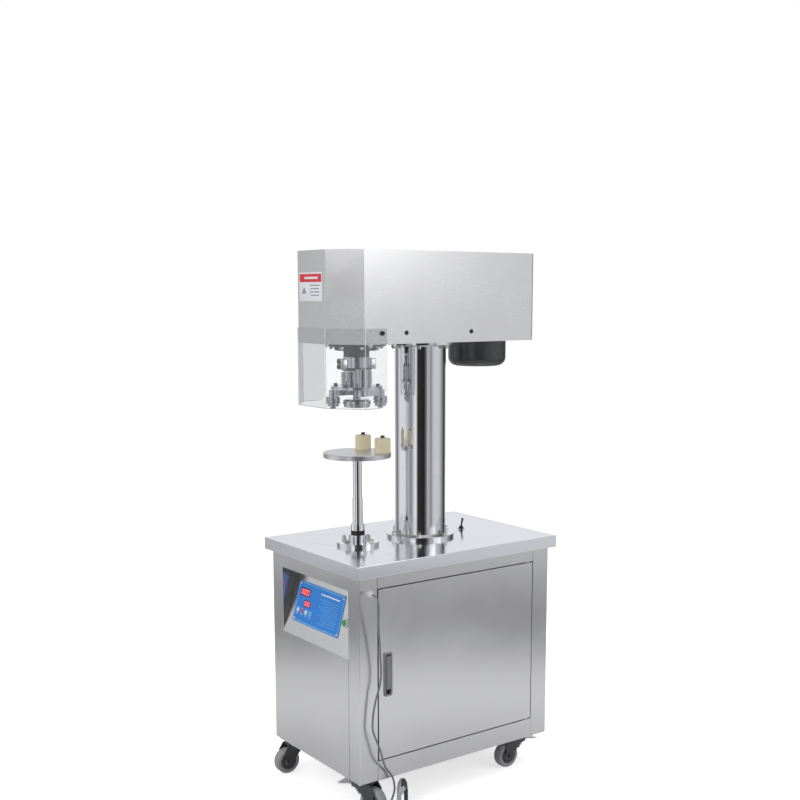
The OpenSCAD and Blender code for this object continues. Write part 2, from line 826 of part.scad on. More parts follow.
module motor_rotor() {
    color("silver")
    translate([0, motor_y, 0]) {
        translate([0, 0, head_z - fan_down - 2])
            cylinder(r = motor_shaft_r, h = pulley_z + pulley_h - head_z + fan_down + 2);
        translate([0, 0, head_z - fan_down]) cylinder(r = fan_r, h = fan_t);
        translate([0, 0, head_z - fan_down + fan_t - eps]) for (i = [0:7]) rotate([0, 0, 45 * i])
            translate([fan_r - 38, -fan_t / 2, 0]) cube([36, fan_t, 24]);
        translate([0, 0, pulley_z]) cylinder(r = motor_pulley_r, h = pulley_h);
        for (z = [0, pulley_h - 2]) translate([0, 0, pulley_z + z]) cylinder(r = motor_pulley_r + 3, h = 2);
    }
}

// The belt's path round both pulleys, grown by g
module belt_loop(g) {
    hull() {
        translate([0, motor_y]) circle(r = motor_pulley_r + g);
        translate([0, -seal_y]) circle(r = spindle_pulley_r + g);
    }
}

module drive_belt() {
    color("black")
    translate([0, 0, pulley_z + (pulley_h - belt_w) / 2]) linear_extrude(belt_w) difference() {
        belt_loop(belt_gap + belt_t);
        belt_loop(belt_gap);
    }
}

module spindle_housing() {
    color("dimgray")
    translate([0, -seal_y, 0]) difference() {
        union() {
            translate([0, 0, nose_z]) cylinder(r = nose_r, h = head_z - nose_z + eps);
            translate([0, 0, head_z]) cylinder(r = housing_r, h = housing_h);
            translate([0, 0, plate_top]) cylinder(r = housing_r + 16, h = 10);
        }
        translate([0, 0, nose_z - 1]) cylinder(r = spindle_r + 1.5, h = 200);
        translate([0, 0, head_z + bearing_up]) cylinder(r = bearing_r, h = 200);
    }
}

module spindle_bearings() {
    color("silver")
    for (z = [head_z + bearing_up, head_z + housing_h - bearing_up - bearing_h])
        translate([0, -seal_y, z]) ring(bearing_r, spindle_r + run_fit, bearing_h);
}

module spindle() {
    color("silver")
    translate([0, -seal_y, 0]) difference() {
        union() {
            translate([0, 0, hub_z]) cylinder(r = spindle_r, h = pulley_z + pulley_h - hub_z);
            translate([0, 0, pulley_z]) cylinder(r = spindle_pulley_r, h = pulley_h);
            for (z = [0, pulley_h - 2])
                translate([0, 0, pulley_z + z]) cylinder(r = spindle_pulley_r + 3, h = 2);
        }
        translate([0, 0, hub_z - 1]) cylinder(r = chuck_shaft_r + run_fit, h = 400);
        for (i = [0:4]) rotate([0, 0, 72 * i])
            translate([47, 0, pulley_z - 1]) cylinder(r = 13, h = pulley_h + 2);
    }
}

// Children in the turret's own frame, turned by a further half turn for the second arm
module on_turret(half) {
    translate([0, -seal_y, 0]) rotate([0, 0, turret_turn + half * 180]) children();
}

module turret() {
    color("lightgray")
    on_turret(0) difference() {
        union() {
            translate([0, 0, hub_z]) cylinder(r = hub_r, h = hub_h);
            translate([0, 0, carrier_z]) cylinder(r = carrier_r, h = carrier_t);
            for (s = [-1, 1]) translate([s * pivot_at, 0, carrier_z])
                cylinder(r = pillar_r, h = hub_z - carrier_z + 8);
        }
        translate([0, 0, carrier_z - 1]) cylinder(r = chuck_shaft_r + 1.2, h = big);
        translate([0, 0, hub_z]) cylinder(r = spindle_r, h = big);
        for (s = [-1, 1]) translate([s * pivot_at, 0, carrier_z - 1])
            cylinder(r = pivot_pin_r + run_fit, h = 54);
    }
}

module chuck() {
    color("silver")
    translate([0, -seal_y, 0]) {
        translate([0, 0, chuck_z + 4]) cylinder(r = chuck_shaft_r, h = pulley_z + pulley_h + 14 - chuck_z - 4);
        translate([0, 0, pulley_z + pulley_h + 1]) cylinder(r = 17, h = 12, $fn = 6);
        translate([0, 0, chuck_z]) rotate_extrude()
            polygon([[0, 0], [chuck_r - 3, 0], [chuck_r - 2, 8], [chuck_r, 10], [chuck_r, chuck_h - 4],
                [chuck_r - 6, chuck_h], [0, chuck_h]]);
    }
}

// A seaming arm: a pivot pin, a flat arm and the roller's axle with its head
module arm() {
    tip = [roller_at * cos(roller_turn), roller_at * sin(roller_turn)];
    reach = norm(tip - [pivot_at, 0]);
    lean = atan2(tip[1], tip[0] - pivot_at);
    translate([pivot_at, 0, arm_z]) {
        cylinder(r = 14, h = arm_t);
        cylinder(r = pivot_pin_r, h = carrier_z - arm_z + 52);
        rotate([0, 0, lean]) translate([0, -9, 0]) cube([reach, 18, arm_t]);
    }
    translate([tip[0], tip[1], arm_z]) {
        cylinder(r = 12, h = arm_t);
        translate([0, 0, -roller_h - 4]) cylinder(r = axle_r, h = roller_h + 5);
        translate([0, 0, -roller_h - 7]) cylinder(r = 8, h = 4, $fn = 6);
    }
}

module roller() {
    translate([roller_at * cos(roller_turn), roller_at * sin(roller_turn), roller_z + 1]) rotate_extrude()
        polygon([[axle_r + run_fit, 0], [roller_r - 4, 0], [roller_r - 4, 6], [roller_r, 8], [roller_r, 12],
            [roller_r - 2.5, 14], [roller_r, 16], [roller_r, 22], [roller_r - 3, roller_h],
            [axle_r + run_fit, roller_h]]);
}

// ---------- lift and tray ----------

module lift_flange() {
    color("silver")
    translate([0, -seal_y, table_z]) difference() {
        union() {
            cylinder(r = lift_flange_r, h = flange_t);
            cylinder(r = lift_hub_r, h = hub_top - table_z);
        }
        translate([0, 0, -1]) cylinder(r = sleeve_r + run_fit, h = 60);
        translate([0, seal_y, -1]) at_lift_bolts() cylinder(r = bolt_hole_r, h = flange_t + 2);
    }
}

module seal_ring() {
    color("black")
    translate([0, -seal_y, hub_top]) ring(collar_r - 0.5, sleeve_r + slide_gap, seal_h);
}

module lift_sleeve() {
    color("silver")
    translate([0, -seal_y, 0]) difference() {
        union() {
            translate([0, 0, sleeve_z]) cylinder(r = sleeve_r, h = sleeve_top - sleeve_z);
            translate([0, 0, sleeve_z - stem_l]) cylinder(r = stem_r, h = stem_l + eps);
        }
        translate([0, 0, sleeve_z + 8]) cylinder(r = rod_r + run_fit, h = big);
    }
}

module sleeve_collar() {
    color("silver")
    translate([0, -seal_y, collar_z]) difference() {
        union() {
            ring(collar_r, sleeve_r, collar_h);
            for (z = [5, collar_h - 5])
                translate([0, 0, z]) rotate([0, 90, -36]) cylinder(r = 3, h = collar_r + 1.5);
        }
        translate([0, 0, -1]) cylinder(r = sleeve_r, h = collar_h + 2);
        rotate([0, 0, 100]) translate([0, -1, -1]) cube([40, 2, collar_h + 2]);
    }
}

module tray_rod() {
    color("silver")
    translate([0, -seal_y, 0]) {
        translate([0, 0, rod_z]) cylinder(r = rod_r, h = tray_top - tray_t - rod_z);
        translate([0, 0, tray_top - tray_t - eps]) cylinder(r = spigot_r, h = spigot_h);
    }
}

module tray() {
    color("silver")
    translate([0, -seal_y, tray_top - tray_t]) rotate_extrude()
        polygon([[0, spigot_h + 0.5], [spigot_r + 0.1, spigot_h + 0.5], [spigot_r + 0.1, 0],
            [tray_r - 1, 0], [tray_r, 1],
            [tray_r, tray_t - 1], [tray_r - 1, tray_t], [0, tray_t]]);
}

module locating_stops() {
    color("wheat")
    for (s = [-1, 1]) translate([s * stop_x, stop_y - seal_y, tray_top]) rotate_extrude()
        polygon([[stop_bore_r, 0], [stop_r, 0], [stop_r, stop_h - 1.5], [stop_r - 1.5, stop_h],
            [stop_bore_r, stop_h]]);
}

module lift_cylinder() {
    color("dimgray")
    translate([0, -seal_y, 0]) difference() {
        union() {
            translate([0, 0, stiffener_z - cylinder_l]) cylinder(r = cylinder_r, h = cylinder_l);
            translate([0, 0, stiffener_z - 10]) cylinder(r = cylinder_r + 10, h = 10);
        }
        translate([0, 0, stiffener_z - sleeve_in - 60]) cylinder(r = sleeve_r + 1, h = cylinder_l);
        translate([0, 0, stiffener_z - cylinder_l + 10]) cylinder(r = stem_r + run_fit, h = cylinder_l);
    }
}

// ---------- toggle switch ----------

module toggle_base() {
    color("black")
    translate([0, toggle_y, 0]) difference() {
        union() {
            translate([0, 0, table_z]) cylinder(r = 8.5, h = 4, $fn = 6);
            translate([0, 0, frame_top - toggle_body_h])
                cylinder(r = toggle_neck_r, h = toggle_z - frame_top + toggle_body_h);
            translate([-7, -11, frame_top - toggle_body_h]) cube([14, 22, toggle_body_h - eps]);
        }
        translate([0, 0, toggle_z - 6]) cylinder(r1 = 2.6, r2 = 5.4, h = 6 + eps);
    }
}

module toggle_lever() {
    color("black")
    translate([0, toggle_y, toggle_z - 3]) rotate([-toggle_tilt, 0, 0]) {
        cylinder(r1 = 1.9, r2 = 3.4, h = 25);
        translate([0, 0, 25]) sphere(r = 3.4);
    }
}

// ---------- casters ----------

// Children in a caster's own frame: +x is the way its wheel trails
module on_caster(i) {
    translate([casters[i][0], casters[i][1], 0]) rotate([0, 0, casters[i][2]]) children();
}

module caster_plates() {
    color("silver")
    for (c = casters) translate([c[0], c[1], 0]) {
        translate([-40, -38, plate_z]) cube([80, 76, foot_z - plate_z]);
        translate([0, 0, yoke_z - 0.5]) cylinder(r = kingpin_r, h = plate_z - yoke_z + 0.5 + eps);
        translate([0, 0, yoke_z - 3.5]) cylinder(r = 10, h = 3);
    }
}

module fork(i, has_brake) {
    color("dimgray")
    on_caster(i) difference() {
        union() {
            translate([0, 0, yoke_z]) cylinder(r = 26, h = yoke_t);
            for (s = [-1, 1])
                translate([0, s > 0 ? leg_y + leg_t : -leg_y, 0]) rotate([90, 0, 0]) linear_extrude(leg_t) {
                    polygon([[-22, yoke_z], [-18, yoke_z + 6], [38, yoke_z + 6], [52, yoke_z - 14],
                        [caster_trail + boss_r, wheel_r], [caster_trail - boss_r, wheel_r], [-6, yoke_z - 14]]);
                    translate([caster_trail, wheel_r]) circle(r = boss_r);
                    if (has_brake) translate([brake_x, brake_z]) circle(r = 6);
                    if (has_brake) polygon([[brake_x - 5, brake_z], [brake_x - 2, yoke_z + 6],
                        [6, yoke_z + 6], [6, yoke_z - 14], [brake_x, brake_z - 6]]);
                }
            translate([-14, -leg_y - eps, yoke_z]) cube([50, 2 * leg_y + 2 * eps, 6]);
            translate([caster_trail, leg_y + leg_t + 4, wheel_r]) rotate([90, 0, 0])
                cylinder(r = axle_r, h = 2 * (leg_y + leg_t + 4));
            for (s = [-1, 1]) translate([caster_trail, s * (leg_y + leg_t) + 2, wheel_r]) rotate([90, 0, 0])
                cylinder(r = 8, h = 4, $fn = 6);
            if (has_brake) translate([brake_x, leg_y + leg_t, brake_z]) rotate([90, 0, 0])
                cylinder(r = brake_pin_r, h = 2 * (leg_y + leg_t));
        }
        translate([0, 0, yoke_z - 20]) cylinder(r = kingpin_r + run_fit, h = 60);
    }
}

module wheel(i) {
    half = wheel_w / 2;
    color("gray")
    on_caster(i) translate([caster_trail, 0, wheel_r]) rotate([90, 0, 0]) rotate_extrude()
        polygon([[axle_r + run_fit, -half], [11, -half], [13, 2 - half], [wheel_r - 12, 2 - half],
            [wheel_r - 10, -half],
            [wheel_r - 5, -half], [wheel_r - 2, 2 - half], [wheel_r - 0.5, 5 - half], [wheel_r, 8 - half],
            [wheel_r, half - 8], [wheel_r - 0.5, half - 5], [wheel_r - 2, half - 2], [wheel_r - 5, half],
            [wheel_r - 10, half], [wheel_r - 12, half - 2], [13, half - 2], [11, half],
            [axle_r + run_fit, half]]);
}

module brake(i) {
    color("silver")
    on_caster(i) translate([brake_x, 0, brake_z]) difference() {
        union() {
            translate([0, leg_y - 0.5, 0]) rotate([90, 0, 0]) cylinder(r = 5, h = 2 * leg_y - 1);
            translate([0, leg_y - 1, 0]) rotate([90, 0, 0]) linear_extrude(2 * leg_y - 2)
                polygon([[1, 4.5], [8, -6], [20, -23], [17, -26], [2, -8], [-4, -2], [-20, -3],
                    [-brake_len, -9],
                    [2 - brake_len, -6], [-22, 1]]);
            translate([-brake_len, -leg_y - 3, -9]) rotate([0, -9, 0]) cube([24, 2 * leg_y + 6, 3]);
        }
        translate([0, leg_y, 0]) rotate([90, 0, 0]) cylinder(r = brake_pin_r + run_fit, h = 2 * leg_y);
    }
}

// ---------- foot switch and cord ----------

// Children in the foot switch's own frame: x through its thickness, y across it, z along it
module on_pedal() {
    translate([pedal_x, pedal_y, 0]) rotate([0, 0, pedal_turn]) children();
}

module pedal_base() {
    half = pedal_w / 2;
    color("gray")
    on_pedal() {
        translate([0, half, 0]) rotate([90, 0, 0]) linear_extrude(pedal_w)
            polygon([[-15, 0], [-15, 58], [-12, 72], [-6, 84], [-3, 88], [-3, 0]]);
        for (s = [-1, 1]) translate([0, s > 0 ? half : 4 - half, 0]) rotate([90, 0, 0]) linear_extrude(4) {
            polygon([[-6, 56], [pedal_pivot_x, 68], [pedal_pivot_x, pedal_pivot_z], [-6, 84]]);
            translate([pedal_pivot_x, pedal_pivot_z]) circle(r = 6);
        }
        translate([pedal_pivot_x, half - 1, pedal_pivot_z])
            rotate([90, 0, 0]) cylinder(r = pedal_pin_r, h = pedal_w - 2);
        translate([-9, eps - half, pedal_gland_z]) rotate([90, 0, 0])
            cylinder(r1 = 6, r2 = 4, h = pedal_gland_len);
    }
}

module pedal_treadle() {
    half = pedal_w / 2 - 4.5;
    color("black")
    on_pedal() difference() {
        translate([0, half, 0]) rotate([90, 0, 0]) linear_extrude(2 * half) {
            polygon([[5, 1], [13, 1], [15, 4], [15, 60], [13, 76], [7, 85], [2, 84], [3, 74], [5, 60]]);
            translate([pedal_pivot_x, pedal_pivot_z]) circle(r = 5.5);
        }
        translate([pedal_pivot_x, pedal_w, pedal_pivot_z])
            rotate([90, 0, 0]) cylinder(r = pedal_pin_r + run_fit, h = 2 * pedal_w);
    }
}

// The cord's points follow the cabinet's corner, and above the switch the gland's height
function set_out(p) = [p[0] + cab_w / 2 - cord_corner[0], p[1] - cab_d / 2 - cord_corner[1],
    p[2] + max(0, p[2] - pedal_l) * (cord_gland_z - cord_corner[2]) / (cord_corner[2] - pedal_l)];
// A smooth curve through the cord's points, worked out a step at a time
function between(a, b, c, d, t) = 0.5 * (2 * b + (c - a) * t + (2 * a - 5 * b + 4 * c - d) * t * t
    + (3 * b - a - 3 * c + d) * t * t * t);
function clamped(p, i) = p[max(0, min(len(p) - 1, i))];
function smooth(p, n) = concat([for (i = [0:len(p) - 2], k = [0:n - 1])
    between(clamped(p, i - 1), p[i], p[i + 1], clamped(p, i + 2), k / n)], [p[len(p) - 1]]);
function unit(v) = v / norm(v);
function heading(p, i) = unit(clamped(p, i + 1) - clamped(p, i - 1));
// The sideways direction is carried along the curve, so that the tube doesn't twist
function carried(p, i, side) = i >= len(p) ? [] :
    let (h = heading(p, i), s = unit(side - (side * h) * h)) concat([s], carried(p, i + 1, s));

module pedal_cord() {
    path = smooth([for (p = cord_points) set_out(p)], cord_steps);
    sides = carried(path, 0, [0, 1, 0]);
    n = cord_sides;
    points = [for (i = [0:len(path) - 1], k = [0:n - 1])
        let (a = 360 * k / n + 180 / n, up = cross(heading(path, i), sides[i]))
        path[i] + cord_r * (cos(a) * sides[i] + sin(a) * up)];
    last = len(path) - 1;
    walls = [for (i = [0:last - 1], k = [0:n - 1])
        [i * n + k, (i + 1) * n + k, (i + 1) * n + (k + 1) % n, i * n + (k + 1) % n]];
    ends = [[for (k = [0:n - 1]) k], [for (k = [n - 1:-1:0]) last * n + k]];
    color("gray") polyhedron(points = points, faces = concat(walls, ends));
}

// ---------- the nodes ----------

corner_posts();
frame_rails();
worktop();
left_panel();
rear_panel();
floor_panel();
front_panel();
control_box();
membrane_panel();
panel_screws();
button_bezel();
start_button();
door();
hinge_pins();
latch_housing();
latch_lever();
cord_gland();
mains_gland();
column();
flange_bolts();
head_base_plate();
head_cover();
guard();
motor();
fan_cover();
motor_rotor();
drive_belt();
spindle_housing();
spindle_bearings();
spindle();
turret();
chuck();
color("gray") on_turret(0) arm();  // first_arm
color("gray") on_turret(1) arm();  // second_arm
color("silver") on_turret(0) roller();  // first_roller
color("silver") on_turret(1) roller();  // second_roller
lift_flange();
seal_ring();
lift_sleeve();
sleeve_collar();
tray_rod();
tray();
locating_stops();
lift_cylinder();
toggle_base();
toggle_lever();
caster_plates();
fork(0, false);  // fork_front_left
fork(1, true);  // fork_front_right
fork(2, false);  // fork_rear_left
fork(3, true);  // fork_rear_right
wheel(0);  // wheel_front_left
wheel(1);  // wheel_front_right
wheel(2);  // wheel_rear_left
wheel(3);  // wheel_rear_right
brake(1);  // brake_front_right
brake(3);  // brake_rear_right
pedal_base();
pedal_treadle();
pedal_cord();
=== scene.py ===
# %% [markdown]
# # A cup sealing machine, from the CAD frame to the finished picture
# The machine is a stainless cabinet on casters with a column, a drive head, a clear guard and a lifting tray.
# The CAD frame already holds every plate, shaft and wheel at its true size. This lesson gives those parts their
# finishes, and models the small visible pieces that a drawing office leaves to the workshop.

# %% Load the frame
import json
import math
import bpy
from mathutils import Matrix, Vector


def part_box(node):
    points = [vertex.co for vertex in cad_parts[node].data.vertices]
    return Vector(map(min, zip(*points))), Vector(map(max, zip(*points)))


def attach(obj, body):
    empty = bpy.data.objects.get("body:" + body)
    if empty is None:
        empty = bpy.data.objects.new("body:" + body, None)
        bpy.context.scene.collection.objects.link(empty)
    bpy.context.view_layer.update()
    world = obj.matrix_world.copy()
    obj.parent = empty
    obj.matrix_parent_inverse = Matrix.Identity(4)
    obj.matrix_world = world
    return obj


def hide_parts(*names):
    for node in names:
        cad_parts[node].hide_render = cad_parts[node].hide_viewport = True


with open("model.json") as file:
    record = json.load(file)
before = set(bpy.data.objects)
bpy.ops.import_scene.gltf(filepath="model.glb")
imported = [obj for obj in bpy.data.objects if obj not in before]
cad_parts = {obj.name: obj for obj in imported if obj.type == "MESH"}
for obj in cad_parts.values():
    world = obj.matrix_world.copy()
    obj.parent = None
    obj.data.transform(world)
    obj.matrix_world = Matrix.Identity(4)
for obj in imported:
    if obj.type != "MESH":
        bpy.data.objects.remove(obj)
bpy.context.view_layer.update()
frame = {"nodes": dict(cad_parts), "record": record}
bpy.ops.object.select_all(action="DESELECT")

# %% [markdown]
# ## The camera
# The view is from the operator's right, a little above the worktop. A slightly long lens keeps the cabinet's
# uprights nearly parallel, and a small shift holds the machine low in the frame without tipping the camera.

# %% Camera
LENS_MM, SENSOR_MM = 52.5, 36
LENS_SHIFT = (-0.02125, 0.0875)
CAMERA_PLACE = (2.774, -2.025, 1.434)
CAMERA_DIP, CAMERA_TURN = 8.5, 53.57
SEES_TO = 50
camera_data = bpy.data.cameras.new("camera")
camera_data.lens = LENS_MM
camera_data.sensor_width = SENSOR_MM
camera_data.shift_x, camera_data.shift_y = LENS_SHIFT
camera_data.clip_end = SEES_TO
camera = bpy.data.objects.new("camera", camera_data)
camera.location = CAMERA_PLACE
camera.rotation_euler = (math.radians(90 - CAMERA_DIP), 0, math.radians(CAMERA_TURN))
bpy.context.scene.collection.objects.link(camera)
bpy.context.scene.camera = camera
print("camera stands", round(camera.location.length, 2), "m from the origin")

# %% [markdown]
# ## The foot switch's cord
# The cord leaves a white gland on the corner post, hangs down the post and reaches the foot switch that stands by
# the front caster. A Bezier curve through the CAD route's own points, with a round bevel, is the simplest true
# tube: its line is its length, and its bends stay smooth.

# %% Cord
CORD_POINTS_MM = [
    (252.5, -311, 639), (259, -311, 638.5), (270.5, -311.5, 635), (279, -312.5, 626.5), (282, -313, 615),
    (280, -312, 594), (272, -307, 557), (268, -301, 517), (262, -294, 458), (260, -291, 420), (257, -294, 381),
    (255, -302, 354), (252, -309, 320), (251, -313, 288), (253, -314, 260), (258, -307, 233), (262, -296, 202),
    (262, -287, 171), (258, -278, 150), (251, -263, 131), (248, -248, 112), (248, -240, 88), (248, -239, 67),
    (249, -246, 49), (252, -257, 33), (257, -269, 19), (260, -281, 10), (263, -293, 6), (272, -302, 4),
    (286, -305, 3), (300, -300, 3), (309, -287, 4), (308, -272, 8), (299, -260, 13), (291, -254.4, 15.5),
    (283, -248.5, 16)]
CORD_RADIUS = 0.00275
cord_route = [Vector(point) / 1000 for point in CORD_POINTS_MM]
cord_curve = bpy.data.curves.new("pedal_cord_sheath", "CURVE")
cord_curve.dimensions = "3D"
cord_curve.bevel_depth = CORD_RADIUS
cord_curve.bevel_resolution = 4
cord_curve.resolution_u = 6
cord_curve.use_fill_caps = True
cord_line = cord_curve.splines.new("BEZIER")
cord_line.bezier_points.add(len(cord_route) - 1)
for knot, place in zip(cord_line.bezier_points, cord_route):
    knot.co = place
    knot.handle_left_type = "AUTO"
    knot.handle_right_type = "AUTO"
cord = bpy.data.objects.new("pedal_cord_sheath", cord_curve)
bpy.context.scene.collection.objects.link(cord)

# %% [markdown]
# ## Helpers for modelling
# Every new piece starts from a primitive about the origin, is shaped in edit mode, and is then put in its place
# with the place applied to its mesh. That keeps each step as one would do it by hand: add, select, extrude, bevel.

# %% Edit-mode helpers
def name_new(name, size=(1, 1, 1)):
    """Names the primitive that was just added, and scales its mesh to size."""
    piece = bpy.context.object
    piece.name = name
    piece.scale = size
    bpy.ops.object.transform_apply(location=False, rotation=False, scale=True)
    return piece


def pick(piece, test, what="FACE"):
    """Opens edit mode with only the faces or edges selected whose centre passes the test."""
    bpy.ops.object.select_all(action="DESELECT")
    piece.select_set(True)
    bpy.context.view_layer.objects.active = piece
    bpy.ops.object.mode_set(mode="EDIT")
    bpy.ops.mesh.select_mode(type=what)
    bpy.ops.mesh.select_all(action="DESELECT")
    bpy.ops.object.mode_set(mode="OBJECT")
    mesh = piece.data
    if what == "FACE":
        for face in mesh.polygons:
            face.select = test(face.center, face.normal)
    else:
        for edge in mesh.edges:
            ends = [mesh.vertices[i].co for i in edge.vertices]
            edge.select = test((ends[0] + ends[1]) / 2, (ends[1] - ends[0]).normalized())
    bpy.ops.object.mode_set(mode="EDIT")


def close_edit():
    """Points every face outwards and leaves edit mode."""
    bpy.ops.mesh.select_all(action="SELECT")
    bpy.ops.mesh.normals_make_consistent(inside=False)
    bpy.ops.object.mode_set(mode="OBJECT")


def settle(piece, place, smooth=35):
    """Puts a piece in its place and applies that to its mesh."""
    bpy.ops.object.select_all(action="DESELECT")
    piece.select_set(True)
    bpy.context.view_layer.objects.active = piece
    piece.matrix_world = place
    bpy.ops.object.transform_apply(location=True, rotation=True, scale=True)
    bpy.ops.object.shade_smooth_by_angle(angle=math.radians(smooth))
    return piece


def belong(piece, body, material):
    """Makes a piece ride on a body and gives it its finish."""
    piece.data.materials.clear()
    piece.data.materials.append(material)
    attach(piece, body)
    return piece


def shift(x, y, z):
    return Matrix.Translation((x, y, z))


def turn(degrees, axis):
    return Matrix.Rotation(math.radians(degrees), 4, axis)


print("helpers ready")

# %% [markdown]
# Most small machine parts are either turned or cut from plate. A turned part is a circle that is extruded and
# resized step by step, which gives clean rings. A plate is a cube whose upright edges are bevelled to its corner
# radius and whose rims then get a fine bevel that catches the light.

# %% Turned parts and plates
def turned(name, outline, sides=32):
    """A closed turned part about Z through (radius, height) points."""
    radius, height = outline[0]
    bpy.ops.object.select_all(action="DESELECT")
    bpy.ops.mesh.primitive_circle_add(radius=radius, vertices=sides, fill_type="NGON")
    piece = name_new(name)
    bpy.ops.object.mode_set(mode="EDIT")
    bpy.ops.mesh.select_all(action="SELECT")
    bpy.ops.transform.translate(value=(0, 0, height))
    for next_radius, next_height in outline[1:]:
        bpy.ops.mesh.extrude_region_move(TRANSFORM_OT_translate={"value": (0, 0, next_height - height)})
        ratio = next_radius / radius
        bpy.ops.transform.resize(value=(ratio, ratio, 1), center_override=(0, 0, next_height))
        radius, height = next_radius, next_height
    close_edit()
    return piece


def plate(name, width, height, depth, corner=0.0, rim=0.0, steps=5):
    """A plate about Z standing on z = 0, with round upright edges and a fine bevel round its top."""
    bpy.ops.object.select_all(action="DESELECT")
    bpy.ops.mesh.primitive_cube_add(size=1)
    piece = name_new(name, (width, height, depth))
    if corner:
        pick(piece, lambda middle, way: abs(way.z) > 0.9, "EDGE")
        bpy.ops.mesh.bevel(offset=corner, segments=steps, affect="EDGES")
        close_edit()
    pick(piece, lambda middle, normal: normal.z > 0.9)
    if rim:
        bpy.ops.mesh.bevel(offset=rim, segments=2, affect="EDGES")
    bpy.ops.mesh.select_all(action="SELECT")
    bpy.ops.transform.translate(value=(0, 0, depth / 2))
    close_edit()
    return piece


def joined(name, pieces):
    """Joins pieces into one object."""
    bpy.ops.object.select_all(action="DESELECT")
    for piece in pieces:
        piece.select_set(True)
    bpy.context.view_layer.objects.active = pieces[0]
    bpy.ops.object.join()
    pieces[0].name = name
    return pieces[0]


def copied(piece, name, place):
    """A copy with its own mesh, in its place."""
    twin = piece.copy()
    twin.data = piece.data.copy()
    twin.name = name
    bpy.context.scene.collection.objects.link(twin)
    return settle(twin, place)


print("turned parts and plates ready")

# %% [markdown]
# ## Effects that several finishes share
# Brushed steel is thousands of fine scratches along one direction: a noise that is stretched along the grain.
# Handling leaves soft smudges, which are a large slow noise. The edges of small parts are rubbed bright, which the
# pointiness of the surface gives. Each is a node group that is built once and placed in the finishes with its own
# values.

# %% Node groups
def new_group(name, inputs, outputs):
    """A shader node group with named sockets, and its input and output nodes."""
    group = bpy.data.node_groups.new(name, "ShaderNodeTree")
    for label, kind, value in inputs:
        socket = group.interface.new_socket(label, in_out="INPUT", socket_type=kind)
        if value is not None:
            socket.default_value = value
    for label, kind in outputs:
        group.interface.new_socket(label, in_out="OUTPUT", socket_type=kind)
    return group, group.nodes.new("NodeGroupInput"), group.nodes.new("NodeGroupOutput")


def add_math(tree, operation, first, second):
    """A Math node on two numbers or sockets, and its result."""
    node = tree.nodes.new("ShaderNodeMath")
    node.operation = operation
    for socket, value in zip(node.inputs, (first, second)):
        if isinstance(value, (int, float)):
            socket.default_value = value
        else:
            tree.links.new(value, socket)
    return node.outputs[0]


FLOAT, VECTOR = "NodeSocketFloat", "NodeSocketVector"

grain_group, grain_in, grain_out = new_group(
    "brushed grain", [("Vector", VECTOR, None), ("Stretch", VECTOR, None), ("Fineness", FLOAT, 400.0)],
    [("Streaks", FLOAT)])
stretch = grain_group.nodes.new("ShaderNodeVectorMath")
stretch.operation = "MULTIPLY"
grain_noise = grain_group.nodes.new("ShaderNodeTexNoise")
grain_noise.inputs["Detail"].default_value = 6
grain_noise.inputs["Roughness"].default_value = 0.7
grain_group.links.new(grain_in.outputs["Vector"], stretch.inputs[0])
grain_group.links.new(grain_in.outputs["Stretch"], stretch.inputs[1])
grain_group.links.new(stretch.outputs[0], grain_noise.inputs["Vector"])
grain_group.links.new(grain_in.outputs["Fineness"], grain_noise.inputs["Scale"])
grain_group.links.new(grain_noise.outputs[0], grain_out.inputs["Streaks"])

smudge_group, smudge_in, smudge_out = new_group(
    "handling smudges", [("Vector", VECTOR, None), ("Size", FLOAT, 6.0)], [("Mask", FLOAT)])
smudge_noise = smudge_group.nodes.new("ShaderNodeTexNoise")
smudge_noise.inputs["Detail"].default_value = 4
smudge_noise.inputs["Distortion"].default_value = 0.6
smudge_range = smudge_group.nodes.new("ShaderNodeMapRange")
smudge_range.inputs["From Min"].default_value = 0.38
smudge_range.inputs["From Max"].default_value = 0.68
smudge_group.links.new(smudge_in.outputs["Vector"], smudge_noise.inputs["Vector"])
smudge_group.links.new(smudge_in.outputs["Size"], smudge_noise.inputs["Scale"])
smudge_group.links.new(smudge_noise.outputs[0], smudge_range.inputs["Value"])
smudge_group.links.new(smudge_range.outputs[0], smudge_out.inputs["Mask"])

wear_group, wear_in, wear_out = new_group("edge wear", [("Amount", FLOAT, 1.0)], [("Mask", FLOAT)])
wear_shape = wear_group.nodes.new("ShaderNodeNewGeometry")
wear_range = wear_group.nodes.new("ShaderNodeMapRange")
wear_range.inputs["From Min"].default_value = 0.54
wear_range.inputs["From Max"].default_value = 0.64
wear_group.links.new(wear_shape.outputs["Pointiness"], wear_range.inputs["Value"])
wear_group.links.new(
    add_math(wear_group, "MULTIPLY", wear_range.outputs[0], wear_in.outputs["Amount"]), wear_out.inputs["Mask"])
print("node groups", [group.name for group in bpy.data.node_groups])


# %% [markdown]
# ## Finishes
# One function makes every finish. The colour drifts a little with the smudges and brightens at worn edges, the
# roughness follows the grain, and a fine bump carries the scratches. What changes from finish to finish is the
# grain's direction and size, how rough the surface is, and whether it is metal.

# %% A finish
WORN_GAIN, WORN_LIFT = 1.5, 0.12


